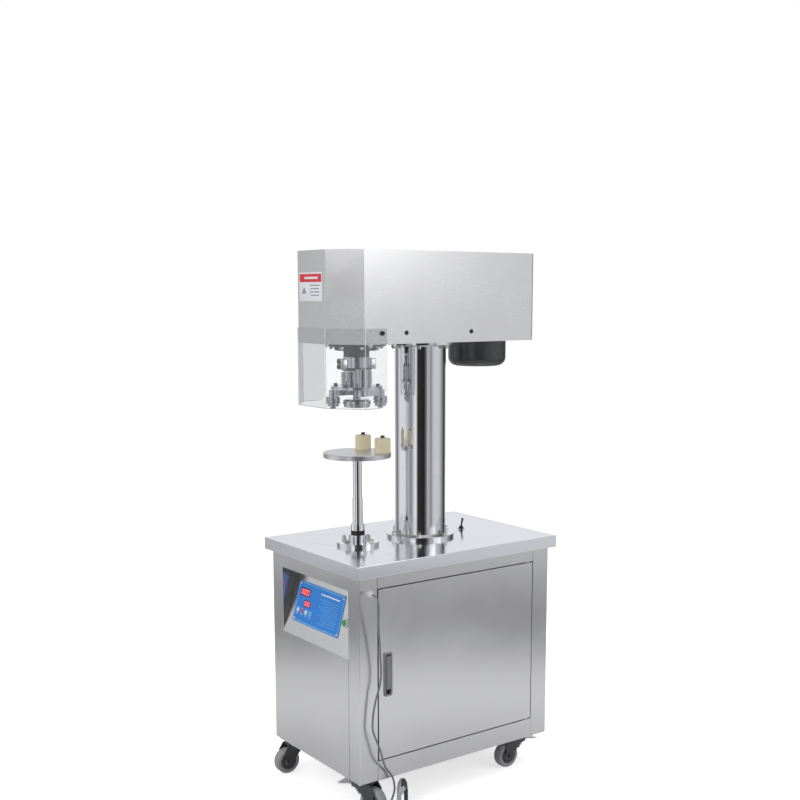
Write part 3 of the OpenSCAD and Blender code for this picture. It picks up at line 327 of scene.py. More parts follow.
def finish(name, colour, rough, metal=0.0, grain=(1, 1, 1), fineness=400, drift=0.06, bump=0.02, wear=0.0,
           coat=0.0, rough_drift=0.08, smudge_size=6.0, bump_depth=0.0002):
    """A material with a grain, smudges and worn edges."""
    material = bpy.data.materials.new(name)
    material.use_nodes = True
    tree = material.node_tree
    shader = tree.nodes["Principled BSDF"]
    place = tree.nodes.new("ShaderNodeTexCoord").outputs["Object"]
    streaks = tree.nodes.new("ShaderNodeGroup")
    streaks.node_tree = grain_group
    streaks.inputs["Stretch"].default_value = grain
    streaks.inputs["Fineness"].default_value = fineness
    tree.links.new(place, streaks.inputs["Vector"])
    smudges = tree.nodes.new("ShaderNodeGroup")
    smudges.node_tree = smudge_group
    smudges.inputs["Size"].default_value = smudge_size
    tree.links.new(place, smudges.inputs["Vector"])
    blend = add_math(tree, "ADD", add_math(tree, "MULTIPLY", streaks.outputs[0], 0.5),
                     add_math(tree, "MULTIPLY", smudges.outputs[0], 0.5))
    tint = tree.nodes.new("ShaderNodeMix")
    tint.data_type = "RGBA"
    tint.inputs[6].default_value = (*[channel * (1 - drift) for channel in colour], 1)
    tint.inputs[7].default_value = (*[min(1, channel * (1 + drift)) for channel in colour], 1)
    tree.links.new(blend, tint.inputs[0])
    colour_out = tint.outputs[2]
    if wear:
        worn = tree.nodes.new("ShaderNodeGroup")
        worn.node_tree = wear_group
        worn.inputs["Amount"].default_value = wear
        bright = tree.nodes.new("ShaderNodeMix")
        bright.data_type = "RGBA"
        bright.inputs[7].default_value = (*[min(1, channel * WORN_GAIN + WORN_LIFT) for channel in colour], 1)
        tree.links.new(worn.outputs[0], bright.inputs[0])
        tree.links.new(colour_out, bright.inputs[6])
        colour_out = bright.outputs[2]
    tree.links.new(colour_out, shader.inputs["Base Color"])
    shader.inputs["Metallic"].default_value = metal
    tree.links.new(add_math(tree, "ADD", add_math(tree, "MULTIPLY", blend, rough_drift), rough - rough_drift / 2),
                   shader.inputs["Roughness"])
    shader.inputs["Coat Weight"].default_value = coat
    if bump:
        relief = tree.nodes.new("ShaderNodeBump")
        relief.inputs["Strength"].default_value = bump
        relief.inputs["Distance"].default_value = bump_depth
        tree.links.new(streaks.outputs[0], relief.inputs["Height"])
        tree.links.new(relief.outputs["Normal"], shader.inputs["Normal"])
    return material


print("a finish has a grain, smudges, worn edges and a bump")

# %% [markdown]
# ## Stainless sheet, polished steel and machined steel
# The cabinet and the head are satin stainless sheet, ground along the length of each panel. The worktop is the same
# sheet with a brighter, almost mirror finish. The column is polished tube, which shows long upright reflections.
# Turned parts have rings instead of lines, so their grain is finer along Z than round it. Sheet has no worn edges,
# because the pointiness of its long thin triangles isn't a measure of wear.

# %% The finishes of the record's slots
ALONG_Y = (1, 0.02, 1)
ALONG_Z = (1, 1, 0.02)
RINGS = (0.3, 0.3, 6)
EVEN = (1, 1, 1)
finishes = {
    "cabinet_sheet": finish("satin stainless", (0.7, 0.7, 0.705), 0.24, 1.0, ALONG_Z, 420, 0.04, 0.04),
    "worktop_sheet": finish("bright stainless", (0.78, 0.78, 0.82), 0.17, 1.0, ALONG_Y, 420, 0.04, 0.03,
                            rough_drift=0.1),
    "head_sheet": finish("satin stainless head", (0.73, 0.73, 0.728), 0.27, 1.0, ALONG_Y, 420, 0.03, 0.03),
    "polished_steel": finish("polished steel", (0.78, 0.78, 0.8), 0.1, 1.0, ALONG_Z, 300, 0.05, 0.02, 0.4),
    "machined_steel": finish("machined steel", (0.5, 0.51, 0.53), 0.17, 1.0, RINGS, 260, 0.12, 0.06, 0.8),
    "bolt_steel": finish("plated bolts", (0.62, 0.62, 0.61), 0.24, 1.0, EVEN, 500, 0.08, 0.05, 0.8),
    "caster_steel": finish("zinc plate", (0.5, 0.5, 0.52), 0.24, 1.0, EVEN, 300, 0.12, 0.05, 0.7),
    "dark_paint": finish("dark grey paint", (0.045, 0.047, 0.052), 0.38, 0.0, EVEN, 900, 0.25, 0.25, 0.5,
                         coat=0.3),
    "motor_paint": finish("grey paint", (0.1, 0.11, 0.12), 0.45, 0.0, EVEN, 700, 0.2, 0.3, 0.4),
    "stop_nylon": finish("cream nylon", (0.92, 0.83, 0.56), 0.48, 0.0, EVEN, 300, 0.08, 0.1),
    "black_rubber": finish("black rubber", (0.012, 0.012, 0.012), 0.6, 0.0, EVEN, 600, 0.3, 0.2),
    "wheel_grey": finish("grey tread", (0.36, 0.36, 0.37), 0.55, 0.0, EVEN, 500, 0.2, 0.2, smudge_size=30),
    "box_plastic": finish("pale moulding", (0.62, 0.62, 0.6), 0.5, 0.0, EVEN, 700, 0.06, 0.2),
    "button_rim": finish("pale rim", (0.72, 0.74, 0.72), 0.3, 0.0, EVEN, 600, 0.05, 0.05, coat=0.4),
    "button_green": finish("green cap", (0.01, 0.36, 0.06), 0.28, 0.0, EVEN, 600, 0.12, 0.05, coat=0.5),
    "latch_grey": finish("mid grey moulding", (0.25, 0.25, 0.265), 0.4, 0.0, EVEN, 900, 0.12, 0.2),
    "gland_white": finish("white nylon", (0.8, 0.8, 0.78), 0.45, 0.0, EVEN, 600, 0.06, 0.1),
    "gland_dark": finish("black nylon", (0.02, 0.02, 0.02), 0.5, 0.0, EVEN, 600, 0.2, 0.2),
    "toggle_black": finish("black moulding", (0.01, 0.01, 0.011), 0.3, 0.0, EVEN, 600, 0.2, 0.05, coat=0.3),
    "pedal_grey": finish("light grey paint", (0.42, 0.43, 0.44), 0.4, 0.0, EVEN, 900, 0.1, 0.2, 0.4),
    "pedal_black": finish("black treadle", (0.015, 0.015, 0.017), 0.5, 0.0, EVEN, 900, 0.3, 0.3, 0.2),
    "cord_sheath": finish("grey sheath", (0.2, 0.205, 0.215), 0.5, 0.0, EVEN, 500, 0.1, 0.1, smudge_size=40),
    "membrane_film": finish("blue film", (0.004, 0.24, 0.8), 0.34, 0.0, EVEN, 900, 0.08, 0.05, coat=0.1),
}
light_blue = finish("light blue print", (0.16, 0.52, 0.86), 0.35, 0.0, EVEN, 900, 0.06, 0.05)
white_print = finish("white print", (0.85, 0.87, 0.9), 0.4, 0.0, EVEN, 900, 0.04, 0.05)
red_print = finish("red print", (0.75, 0.03, 0.04), 0.38, 0.0, EVEN, 900, 0.1, 0.05)
grey_print = finish("grey print", (0.3, 0.3, 0.32), 0.5, 0.0, EVEN, 900, 0.1, 0.05)
dark_window = finish("display window", (0.035, 0.004, 0.006), 0.12, 0.0, EVEN, 900, 0.2, 0.0, coat=0.6)
lit_segment = finish("lit segment", (1.0, 0.1, 0.12), 0.4, 0.0, EVEN, 900, 0.05, 0.0)
glow = lit_segment.node_tree.nodes["Principled BSDF"]
glow.inputs["Emission Color"].default_value = (1, 0.08, 0.12, 1)
glow.inputs["Emission Strength"].default_value = 3
satin_tray = finish("ground tray", (0.62, 0.62, 0.64), 0.34, 1.0, RINGS, 300, 0.08, 0.05, 0.8)
black_oxide = finish("black oxide", (0.03, 0.031, 0.034), 0.35, 0.6, EVEN, 500, 0.2, 0.1, 0.6)
weld_finish = finish("weld bead", (0.5, 0.5, 0.5), 0.38, 1.0, EVEN, 350, 0.2, 0.5, 0.3, bump_depth=0.0006)
print(len(finishes), "finishes")

# %% [markdown]
# ## Clear acrylic
# The guard is clear acrylic sheet. Real transmission through two walls with a steel head behind them costs many
# samples, and so thin a sheet hardly bends light, so a thin glass is closer: mostly transparent, with a gloss that
# grows at grazing angles, where more of its grey base colour shows as a painted sheen. Its bends look pale and its
# cut edges look darker, and both are painted on: a pale painted highlight along each bend and a dark painted shade
# along each cut edge.

# %% Guard finish, and its painted sheen, highlights and shade
FACING_ALPHA, GRAZING_ALPHA = 0.09, 0.7
acrylic = bpy.data.materials.new("clear acrylic")
acrylic.use_nodes = True
acrylic_shader = acrylic.node_tree.nodes["Principled BSDF"]
acrylic_shader.inputs["Base Color"].default_value = (0.62, 0.64, 0.66, 1)
acrylic_shader.inputs["Roughness"].default_value = 0.06
acrylic_shader.inputs["IOR"].default_value = 1.49
# The grey base colour shows more as the alpha rises towards grazing angles: a painted sheen that stands for the
# acrylic's reflection.
grazing_sheen = acrylic.node_tree.nodes.new("ShaderNodeLayerWeight")
grazing_sheen.inputs["Blend"].default_value = 0.35
grazing_sheen_range = acrylic.node_tree.nodes.new("ShaderNodeMapRange")
grazing_sheen_range.inputs["To Min"].default_value = FACING_ALPHA
grazing_sheen_range.inputs["To Max"].default_value = GRAZING_ALPHA
acrylic.node_tree.links.new(grazing_sheen.outputs["Facing"], grazing_sheen_range.inputs["Value"])
acrylic.node_tree.links.new(grazing_sheen_range.outputs[0], acrylic_shader.inputs["Alpha"])
finishes["clear_acrylic"] = acrylic
# Painted highlight: the pale light caught along the guard's bends.
acrylic_bend_highlight = finish("acrylic bend painted highlight", (0.9, 0.93, 0.95), 0.25, 0.0, EVEN, 600, 0.04, 0.02)
# Painted shade: the dark look of the guard's cut edges.
acrylic_edge_shade = finish("acrylic cut edge painted shade", (0.3, 0.34, 0.36), 0.2, 0.0, EVEN, 600, 0.2, 0.05, coat=0.5)
print("acrylic from alpha", FACING_ALPHA, "to", GRAZING_ALPHA)

# %% [markdown]
# ## Dress the CAD parts
# The record says which slot each part takes its finish from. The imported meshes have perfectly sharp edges, which
# real folded sheet never has, so a weld and a narrow bevel are put on the large sheet parts as modifiers.

# %% CAD parts
SOFTENED = {"worktop": 0.0012, "door": 0.0012, "corner_posts": 0.0018, "frame_rails": 0.001,
            "left_panel": 0.001, "rear_panel": 0.0008, "control_box": 0.003}
SAME_POINT = 0.00001
SHARP_ANGLE = 30
for part in frame["record"]["subparts"]:
    node = frame["nodes"][part["node"]]
    node.data.materials.clear()
    node.data.materials.append(finishes[part["material_slot"]])
frame["nodes"]["tray"].data.materials[0] = satin_tray
for name, width in SOFTENED.items():
    node = frame["nodes"][name]
    weld = node.modifiers.new("weld", "WELD")
    weld.merge_threshold = SAME_POINT
    edge = node.modifiers.new("rounded edges", "BEVEL")
    edge.width = width
    edge.segments = 2
    edge.limit_method = "ANGLE"
    edge.angle_limit = math.radians(SHARP_ANGLE)

# %% [markdown]
# ## The cord's ends
# The cord rides with the frame and replaces its plain CAD tube. A moulded boot of 22 mm tapers in ribs from the foot
# switch's gland down to the cord, so that the cord can't be bent sharply there.

# %% Cord attached, with its boot
def pointing(place, way):
    """The matrix that puts a piece modelled up Z at place, pointing along way."""
    return Matrix.Translation(place) @ Vector(way).to_track_quat("Z", "Y").to_matrix().to_4x4()


BOOT_OUTLINE = [
    (0.0046, -0.001), (0.0048, 0.001), (0.0046, 0.004), (0.0042, 0.0045), (0.0042, 0.006), (0.0044, 0.0065),
    (0.0041, 0.010), (0.0037, 0.0105), (0.0037, 0.012), (0.0039, 0.0125), (0.0036, 0.016), (0.0033, 0.0165),
    (0.0033, 0.018), (0.0034, 0.0185), (0.0031, 0.0215), (0.0028, 0.022)]
gland_mouth = cord_route[-1]
boot_way = cord_route[-2] - cord_route[-1]
boot = settle(turned("pedal_cord_boot", BOOT_OUTLINE, 24), pointing(gland_mouth, boot_way), 50)
belong(boot, "frame", finishes["pedal_black"])
cord.data.materials.append(finishes["cord_sheath"])
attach(cord, "frame")
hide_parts("pedal_cord")
print("boot at", [round(value, 3) for value in gland_mouth])

# %% [markdown]
# ## The membrane panel
# The console's controls are one printed polyester film over small dome keys. The film itself is a CAD part. What is
# printed or domed on it is modelled as very thin plates: a lighter border, two dark display windows with lit
# segments, four keys with a caption under each, and plain lines that stand for print without being any words.

# %% Console frame
CONSOLE_TILT = 15
FILM_THICK = 0.0012
low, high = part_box("membrane_panel")
tilt = math.radians(CONSOLE_TILT)
film_middle = (Vector(low) + Vector(high)) / 2
film_across = high[0] - low[0]
film_up = ((high[2] - low[2]) - FILM_THICK * math.sin(tilt)) / math.cos(tilt)
slope = turn(90 - CONSOLE_TILT, "X")


def on_film(across, up, lift=0.0):
    """The place on the film's face: across and up from its middle, as parts of its half width and half height."""
    return (Matrix.Translation(film_middle) @ slope
            @ shift(across * film_across / 2, up * film_up / 2, FILM_THICK / 2 + lift))


film_pieces = []


def print_on_film(piece, material):
    """Dresses a piece of the film and counts it."""
    film_pieces.append(belong(piece, "frame", material))


def bar(name, across, up, width, height, depth, material, corner=0.0004):
    """One thin printed or domed plate on the film, with sizes in metres."""
    print_on_film(settle(plate(name, width, height, depth, corner, depth * 0.3), on_film(across, up)), material)


print("film", round(film_across, 3), "by", round(film_up, 3), "m")

# %% [markdown]
# The border runs just inside the film's edge. The displays and the keys stand on the left, and the title and the
# lines of print on the right.

# %% Print, windows and keys
EDGE_IN, BORDER, BORDER_SHORT, BORDER_THICK = 0.0045, 0.003, 0.012, 0.0002
for side in (-1, 1):
    bar(f"film_border_side_{side + 1}", side * (1 - 2 * EDGE_IN / film_across), 0, BORDER,
        film_up - BORDER_SHORT, BORDER_THICK, light_blue)
    bar(f"film_border_end_{side + 1}", 0, side * (1 - 2 * EDGE_IN / film_up), film_across - BORDER_SHORT, BORDER,
        BORDER_THICK, light_blue)
TOP_WINDOW, LOW_WINDOW = (-0.66, 0.5), (-0.5, -0.02)
WINDOW_THICK = 0.0005
bar("display_window_top", *TOP_WINDOW, 0.05, 0.024, WINDOW_THICK, dark_window, 0.002)
bar("display_window_low", *LOW_WINDOW, 0.034, 0.02, WINDOW_THICK, dark_window, 0.002)
KEYS = [("key_left", -0.84, white_print), ("key_middle", -0.66, red_print), ("key_right", -0.48, white_print),
        ("key_end", -0.3, light_blue)]
KEY_UP, CAPTION_UP = -0.42, -0.6
PRINT_THICK = 0.0003
for name, across, material in KEYS:
    bar(name + "_rim", across, KEY_UP, 0.016, 0.016, PRINT_THICK, light_blue, 0.005)
    bar(name, across, KEY_UP, 0.011, 0.011, 0.0009, material, 0.003)
    bar(name + "_caption", across, CAPTION_UP, 0.01, 0.0016, PRINT_THICK, white_print)
bar("title_line", 0.4, 0.68, 0.1, 0.004, PRINT_THICK, white_print)
LINES, LINE_TOP, LINE_STEP = 10, 0.44, 0.125
for line in range(LINES):
    indent = line % 3
    bar(f"print_line_{line}", 0.42 + 0.03 * indent, LINE_TOP - LINE_STEP * line, 0.1 - 0.014 * indent, 0.0015,
        PRINT_THICK, light_blue)
print(len(film_pieces), "printed pieces")

# %% [markdown]
# A lit digit has seven short bars. Which of them are lit gives the number, and a display at rest shows noughts, so
# only the six bars of a nought are made.

# %% Lit digits
NOUGHT = [(-1, 0.5, True), (1, 0.5, True), (-1, -0.5, True), (1, -0.5, True), (0, 1, False), (0, -1, False)]


def digit(name, across, up, height):
    """A lit nought as one object, height tall."""
    half = height / 2
    long, thin = half * 0.82, half * 0.2
    bars = []
    for x, y, upright in NOUGHT:
        size = (thin, long) if upright else (long, thin)
        stroke = plate(name + "_bar", *size, PRINT_THICK, thin * 0.3, 0.0001, 2)
        bars.append(settle(stroke, shift(x * half * 0.5, y * half, 0)))
    whole = joined(name, bars)
    print_on_film(settle(whole, on_film(across, up, WINDOW_THICK)), lit_segment)


DISPLAYS = [("digit_top", 4, TOP_WINDOW, 0.088, 0.014), ("digit_low", 3, LOW_WINDOW, 0.078, 0.012)]
for name, digits, (across, up), step, height in DISPLAYS:
    for count in range(digits):
        digit(f"{name}_{count}", across + (count - (digits - 1) / 2) * step, up, height)
print(len(film_pieces), "pieces on the film")

# %% [markdown]
# ## The label on the head
# A white sticker with a red heading on the head's flat front. Its lines are plain bars, so it says nothing.

# %% Head label
LABEL_X, LABEL_UP = -0.004, 0.155
HAIRLINE = 0.0001
head_low, head_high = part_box("head_cover")
label_middle = Vector((LABEL_X, head_low[1], head_low[2] + LABEL_UP))
facing_front = turn(90, "X")


def on_label(piece, across, up, lift, material):
    """Puts a piece on the head's front, in metres from the label's middle, and dresses it."""
    place = Matrix.Translation(label_middle) @ facing_front @ shift(across, up, lift)
    belong(settle(piece, place), "frame", material)


PAPER = 0.0005
BAND_THICK = 0.0004
BAND_UP = 0.024
on_label(plate("head_label", 0.118, 0.078, PAPER, 0.003, HAIRLINE), 0, 0, 0, white_print)
on_label(plate("head_label_band", 0.112, 0.022, BAND_THICK, 0.002, HAIRLINE), 0, BAND_UP, PAPER, red_print)
on_label(plate("head_label_heading", 0.07, 0.006, PRINT_THICK, 0.001, HAIRLINE), 0.004, BAND_UP, PAPER + BAND_THICK,
         white_print)
for line in range(4):
    on_label(plate(f"head_label_line_{line}", 0.05 - 0.008 * (line % 2), 0.0028, PRINT_THICK, 0.0006, HAIRLINE),
             0.022, 0.004 - 0.009 * line, PAPER, grey_print)
on_label(turned("head_label_mark", [(0.013, 0), (0.0125, PRINT_THICK)], 3), -0.034, -0.012, PAPER, grey_print)
print("label at", [round(value, 3) for value in label_middle])

# %% [markdown]
# ## The guard's edges
# Bent acrylic shows a pale line at each bend and a darker rim at each cut, from the way light falls on it and passes
# through it. Both are painted here: the pale line is a painted highlight and the dark rim is painted shade. They are
# slender strips that stand a fraction of a millimetre proud of the sheet.

# %% Guard edges
guard_low, guard_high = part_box("guard")
guard_height = guard_high[2] - guard_low[2]
NOSE_X, CORNER_Y = 0.0728, -0.2702
STRIP, STRIP_IN = 0.0016, 0.0006
RIM_WIDE, RIM_DEEP, RIM_BEVEL = 0.0034, 0.0012, 0.0003
SEAM = 0.022
bends = [(NOSE_X, guard_low[1] + STRIP_IN), (guard_high[0] - STRIP_IN, CORNER_Y)]
# Pale strips of painted highlight down each bend of the guard.
for number, (x, y) in enumerate(bends):
    for side in (-1, 1):
        strip = settle(plate(f"guard_bend_highlight_{number}_{side + 1}", STRIP, STRIP, guard_height, 0.0006, RIM_BEVEL),
                       shift(side * x, y, guard_low[2]))
        belong(strip, "frame", acrylic_bend_highlight)


def rim(name, size_x, size_y, x, y, angle=0.0):
    """A slender strip of painted shade under the guard's lower edge, turned about Z."""
    strip = plate(name, size_x, size_y, RIM_DEEP, 0.0, RIM_BEVEL)
    place = shift(x, y, guard_low[2] - RIM_DEEP / 2) @ Matrix.Rotation(angle, 4, "Z")
    belong(settle(strip, place), "frame", acrylic_edge_shade)


# Dark strips of painted shade under the guard's cut lower edge.
rim("guard_rim_shade_front", 2 * NOSE_X, RIM_WIDE, 0, guard_low[1] + RIM_WIDE / 2)
chamfer_way = Vector((guard_high[0] - NOSE_X, CORNER_Y - guard_low[1], 0))
chamfer_turn = math.atan2(chamfer_way.y, chamfer_way.x)
for side in (-1, 1):
    rim(f"guard_rim_shade_corner_{side + 1}", chamfer_way.length, RIM_WIDE, side * (NOSE_X + guard_high[0]) / 2,
        (guard_low[1] + CORNER_Y) / 2 + 0.001, chamfer_turn * side)
    rim(f"guard_rim_shade_wing_{side + 1}", RIM_WIDE, guard_high[1] - CORNER_Y - SEAM,
        side * (guard_high[0] - RIM_WIDE / 2), (guard_high[1] - SEAM + CORNER_Y) / 2)
print("guard", round(guard_height, 3), "m deep")

# %% [markdown]
# ## Small hardware
# Screws, nuts, rings and beads repeat all over the machine. A cap screw and a nut are turned parts, and a nut is
# the same steps on a circle of six sides. A ring is a turned part whose two end faces are deleted and whose rims
# are bridged, so that a shaft really passes through it.

# %% Screws, nuts and rings
AXIS_NEAR = 1e-5


def cap_screw(name, radius, height):
    """A socket-headed cap screw's head standing on z = 0."""
    return turned(name, [(radius, 0), (radius, height * 0.86), (radius * 0.9, height), (radius * 0.55, height),
                         (radius * 0.5, height * 0.5)], 20)


def hex_nut(name, radius, height):
    """A nut on z = 0 with the rounded end of its stud above it."""
    return turned(name, [(radius * 0.9, 0), (radius, height * 0.1), (radius, height * 0.9), (radius * 0.88, height),
                         (radius * 0.56, height), (radius * 0.56, height * 1.35), (radius * 0.4, height * 1.5)], 6)


def holed(name, outline, sides=40):
    """A turned ring: the outline starts and ends at the radius of its hole."""
    piece = turned(name, outline, sides)
    pick(piece, lambda middle, normal: abs(normal.z) > 0.9 and math.hypot(middle.x, middle.y) < AXIS_NEAR)
    bpy.ops.mesh.delete(type="ONLY_FACE")
    bpy.ops.mesh.select_mode(type="EDGE")
    bpy.ops.mesh.select_all(action="DESELECT")
    bpy.ops.mesh.select_non_manifold()
    bpy.ops.mesh.bridge_edge_loops()
    close_edit()
    return piece


small_parts = []


def fit(piece, place, body, material, smooth=35):
    """Settles a small part, dresses it and counts it."""
    small_parts.append(belong(settle(piece, place, smooth), body, material))


print("small hardware ready")

# %% [markdown]
# ## Under the head
# The seaming head is the busiest part of the machine. A dark flange carries the spindle's nose, and a ring of studs
# holds it to the head. Both ride on the frame, because they don't turn with the spindle.

# %% Spindle flange and studs
turret_low, turret_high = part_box("turret")
axis_x = (turret_low[0] + turret_high[0]) / 2
axis_y = (turret_low[1] + turret_high[1]) / 2
head_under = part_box("head_base_plate")[0][2]
NOSE_RADIUS = 0.0373
FLANGE_DEPTH = 0.022
FLANGE_OUTLINE = [(NOSE_RADIUS, 0), (0.06, 0), (0.0635, 0.003), (0.0635, 0.012), (0.082, 0.012), (0.084, 0.014),
                  (0.084, 0.0215), (NOSE_RADIUS, 0.0215)]
fit(holed("spindle_flange", FLANGE_OUTLINE), shift(axis_x, axis_y, head_under - FLANGE_DEPTH), "frame",
    finishes["dark_paint"])
STUDS, STUD_CIRCLE, STUD_DROP = 8, 0.0735, 0.0105
DOWN = (0, 0, -1)
for number in range(STUDS):
    angle = 2 * math.pi * (number + 0.5) / STUDS
    spot = (axis_x + STUD_CIRCLE * math.cos(angle), axis_y + STUD_CIRCLE * math.sin(angle), head_under - STUD_DROP)
    fit(hex_nut(f"flange_stud_{number}", 0.0062, 0.0055), pointing(spot, DOWN), "frame",
        finishes["bolt_steel"], 20)
PLATE_STUDS = [(-0.1, -0.02), (0.1, -0.02), (-0.1, 0.06), (0.1, 0.06), (0, -0.1)]
for number, (x, y) in enumerate(PLATE_STUDS):
    fit(hex_nut(f"plate_stud_{number}", 0.007, 0.008), pointing((axis_x + x, axis_y + y, head_under), DOWN),
        "frame", finishes["bolt_steel"], 20)
print(len(small_parts), "parts under the head")

# %% [markdown]
# The turret has clamp blocks, springs on posts and cap screws. They are bolted to the spindle, so they ride on it.

# %% Turret clamps, posts and screws
TURRET_TURN = 170
CARRIER_TOP = turret_low[2] + 0.008
HUB_RADIUS = 0.038
turret_frame = shift(axis_x, axis_y, 0) @ turn(TURRET_TURN, "Z")


def on_turret(angle, radius, height):
    """A place on the turret, facing outwards along its own X."""
    return turret_frame @ turn(angle, "Z") @ shift(radius, 0, height)


SCREWS_AT, SCREW_CIRCLE = (52, 128, 232, 308), 0.062
CLAMPS_AT, CLAMP_DROP = (90, 270), 0.034
CLAMP_SCREW_DROP, CLAMP_SCREW_STEP = 0.012, 0.015
POST_TURN, POST_CIRCLE = 26, 0.058
POST_OUTLINE = [(0.0035, 0), (0.0035, 0.038), (0.0055, 0.0385), (0.0055, 0.0415), (0.0045, 0.0425)]
for number, angle in enumerate(SCREWS_AT):
    fit(cap_screw(f"carrier_screw_{number}", 0.0058, 0.007), on_turret(angle, SCREW_CIRCLE, CARRIER_TOP), "spindle",
        black_oxide)
for number, angle in enumerate(CLAMPS_AT):
    fit(plate(f"clamp_block_{number}", 0.02, 0.034, 0.03, 0.003, 0.001),
        on_turret(angle, HUB_RADIUS + 0.006, turret_high[2] - CLAMP_DROP), "spindle",
        finishes["machined_steel"])
    for level in (0, 1):
        height = turret_high[2] - CLAMP_SCREW_DROP - CLAMP_SCREW_STEP * level
        fit(cap_screw(f"clamp_screw_{number}_{level}", 0.0045, 0.005),
            on_turret(angle, HUB_RADIUS + 0.016, height) @ turn(90, "Y"), "spindle", black_oxide)
    fit(turned(f"spring_post_{number}", POST_OUTLINE, 16),
        on_turret(angle + POST_TURN, POST_CIRCLE, CARRIER_TOP - 0.0005), "spindle",
        finishes["bolt_steel"])
HUB_BAND_UP = 0.052
HUB_BAND = [(HUB_RADIUS - 0.0004, 0), (0.0415, 0.0005), (0.0425, 0.0015), (0.0425, 0.0075), (0.0415, 0.0085),
            (HUB_RADIUS - 0.0004, 0.009)]
fit(holed("hub_band", HUB_BAND), turret_frame @ shift(0, 0, turret_low[2] + HUB_BAND_UP), "spindle",
    finishes["dark_paint"])
print(len(small_parts), "parts with the turret's")

# %% [markdown]
# A spring is a small ring of wire swept up a screw thread, which is what the Screw modifier does: it turns a
# profile about an axis and lifts it a little with every turn.

# %% Springs
def spring(name, radius, wire, height, turns):
    """A closed coil of round wire standing on z = 0."""
    bpy.ops.object.select_all(action="DESELECT")
    bpy.ops.mesh.primitive_circle_add(radius=wire, vertices=8, rotation=(math.pi / 2, 0, 0),
                                      location=(radius, 0, wire))
    coil = bpy.context.object
    coil.name = name
    bpy.ops.object.transform_apply(location=True, rotation=True, scale=True)
    screw = coil.modifiers.new("coil", "SCREW")
    screw.screw_offset = (height - 2 * wire) / turns
    screw.iterations = turns
    screw.steps = screw.render_steps = 18
    screw.use_merge_vertices = False
    bpy.ops.object.modifier_apply(modifier="coil")
    bpy.ops.object.mode_set(mode="EDIT")
    bpy.ops.mesh.select_all(action="DESELECT")
    bpy.ops.mesh.select_mode(type="EDGE")
    bpy.ops.mesh.select_non_manifold()
    bpy.ops.mesh.fill()
    close_edit()
    return coil


for number, angle in enumerate(CLAMPS_AT):
    fit(spring(f"turret_spring_{number}", 0.0062, 0.0011, 0.037, 8),
        on_turret(angle + POST_TURN, POST_CIRCLE, CARRIER_TOP), "spindle", finishes["bolt_steel"],
        60)
PIVOT_CIRCLE, PIVOT_UP = 0.04, 0.051
for arm, half_turn in (("first_arm", 0), ("second_arm", 180)):
    fit(hex_nut(f"{arm}_pivot_nut", 0.0095, 0.006),
        on_turret(half_turn, PIVOT_CIRCLE, turret_low[2] + PIVOT_UP), arm, finishes["bolt_steel"],
        20)
print(len(small_parts), "small parts so far")

# %% [markdown]
# ## Stops, lift and column
# Each nylon stop is held by a washer and a dark cap screw. Both ends of the column are welded to their flanges, and
# a weld that has been dressed is a narrow ring with a hollow face.

# %% Stop screws and weld beads
WASHER_TALL = 0.0016
stops_low, stops_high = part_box("locating_stops")
stop_radius = (stops_high[1] - stops_low[1]) / 2
stops_y = (stops_low[1] + stops_high[1]) / 2
for number, x in enumerate((stops_low[0] + stop_radius, stops_high[0] - stop_radius)):
    fit(turned(f"stop_washer_{number}", [(0.009, 0), (0.009, 0.0012), (0.0086, WASHER_TALL)], 28),
        shift(x, stops_y, stops_high[2]), "tray", finishes["bolt_steel"])
    fit(cap_screw(f"stop_screw_{number}", 0.0062, 0.006), shift(x, stops_y, stops_high[2] + WASHER_TALL), "tray",
        black_oxide)
COLUMN_RADIUS = 0.076
COLUMN_FLANGE = 0.010
BEAD = [(COLUMN_RADIUS - 0.0004, 0), (COLUMN_RADIUS + 0.0048, 0), (COLUMN_RADIUS + 0.003, 0.0012),
        (COLUMN_RADIUS + 0.0012, 0.003), (COLUMN_RADIUS - 0.0004, 0.0052)]
column_low, column_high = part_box("column")
column_y = (column_low[1] + column_high[1]) / 2
fit(holed("column_weld_low", BEAD, 64), shift(0, column_y, column_low[2] + COLUMN_FLANGE), "frame",
    weld_finish, 60)
fit(holed("column_weld_high", BEAD, 64), shift(0, column_y, column_high[2] - COLUMN_FLANGE) @ turn(180, "X"),
    "frame", weld_finish, 60)
TOGGLE_WASHER = [(0.0062, 0), (0.0115, 0), (0.0115, 0.0008), (0.0108, 0.0012), (0.0062, 0.0012)]
toggle_low, toggle_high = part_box("toggle_base")
table_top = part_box("worktop")[1][2]
fit(holed("toggle_washer", TOGGLE_WASHER, 28),
    shift((toggle_low[0] + toggle_high[0]) / 2, (toggle_low[1] + toggle_high[1]) / 2, table_top), "frame",
    finishes["bolt_steel"])
print(len(small_parts), "small parts so far")

# %% [markdown]
# The head's cover and guard are held by black socket screws, which stand over the drawn screws.

# %% Cover screws
SCREW_UP, SUNK = 0.03, 0.0001
SCREWS_ALONG = [(-0.213, 0.0033), (-0.131, 0.0), (0.098, 0.0)]
SCREW_OUTLINE = [(0.0064, 0), (0.0064, 0.0008), (0.0056, 0.0012), (0.0054, 0.0026), (0.004, 0.0036),
                 (0.0026, 0.0038), (0.0024, 0.0032)]
for side in (-1, 1):
    for number, (y, reach_out) in enumerate(SCREWS_ALONG):
        spot = (side * (head_high[0] + reach_out - SUNK), y, head_low[2] + SCREW_UP)
        fit(turned(f"cover_screw_{side + 1}_{number}", SCREW_OUTLINE, 24), pointing(spot, (side, 0, 0)), "frame",
            black_oxide)
print(len(small_parts), "small parts so far")

# %% [markdown]
# ## Casters
# A bright ball race sits between each plate and its fork, four nuts hold the plate, and a dark disc covers each side
# of the wheel inside the tyre. The discs roll with the wheel.

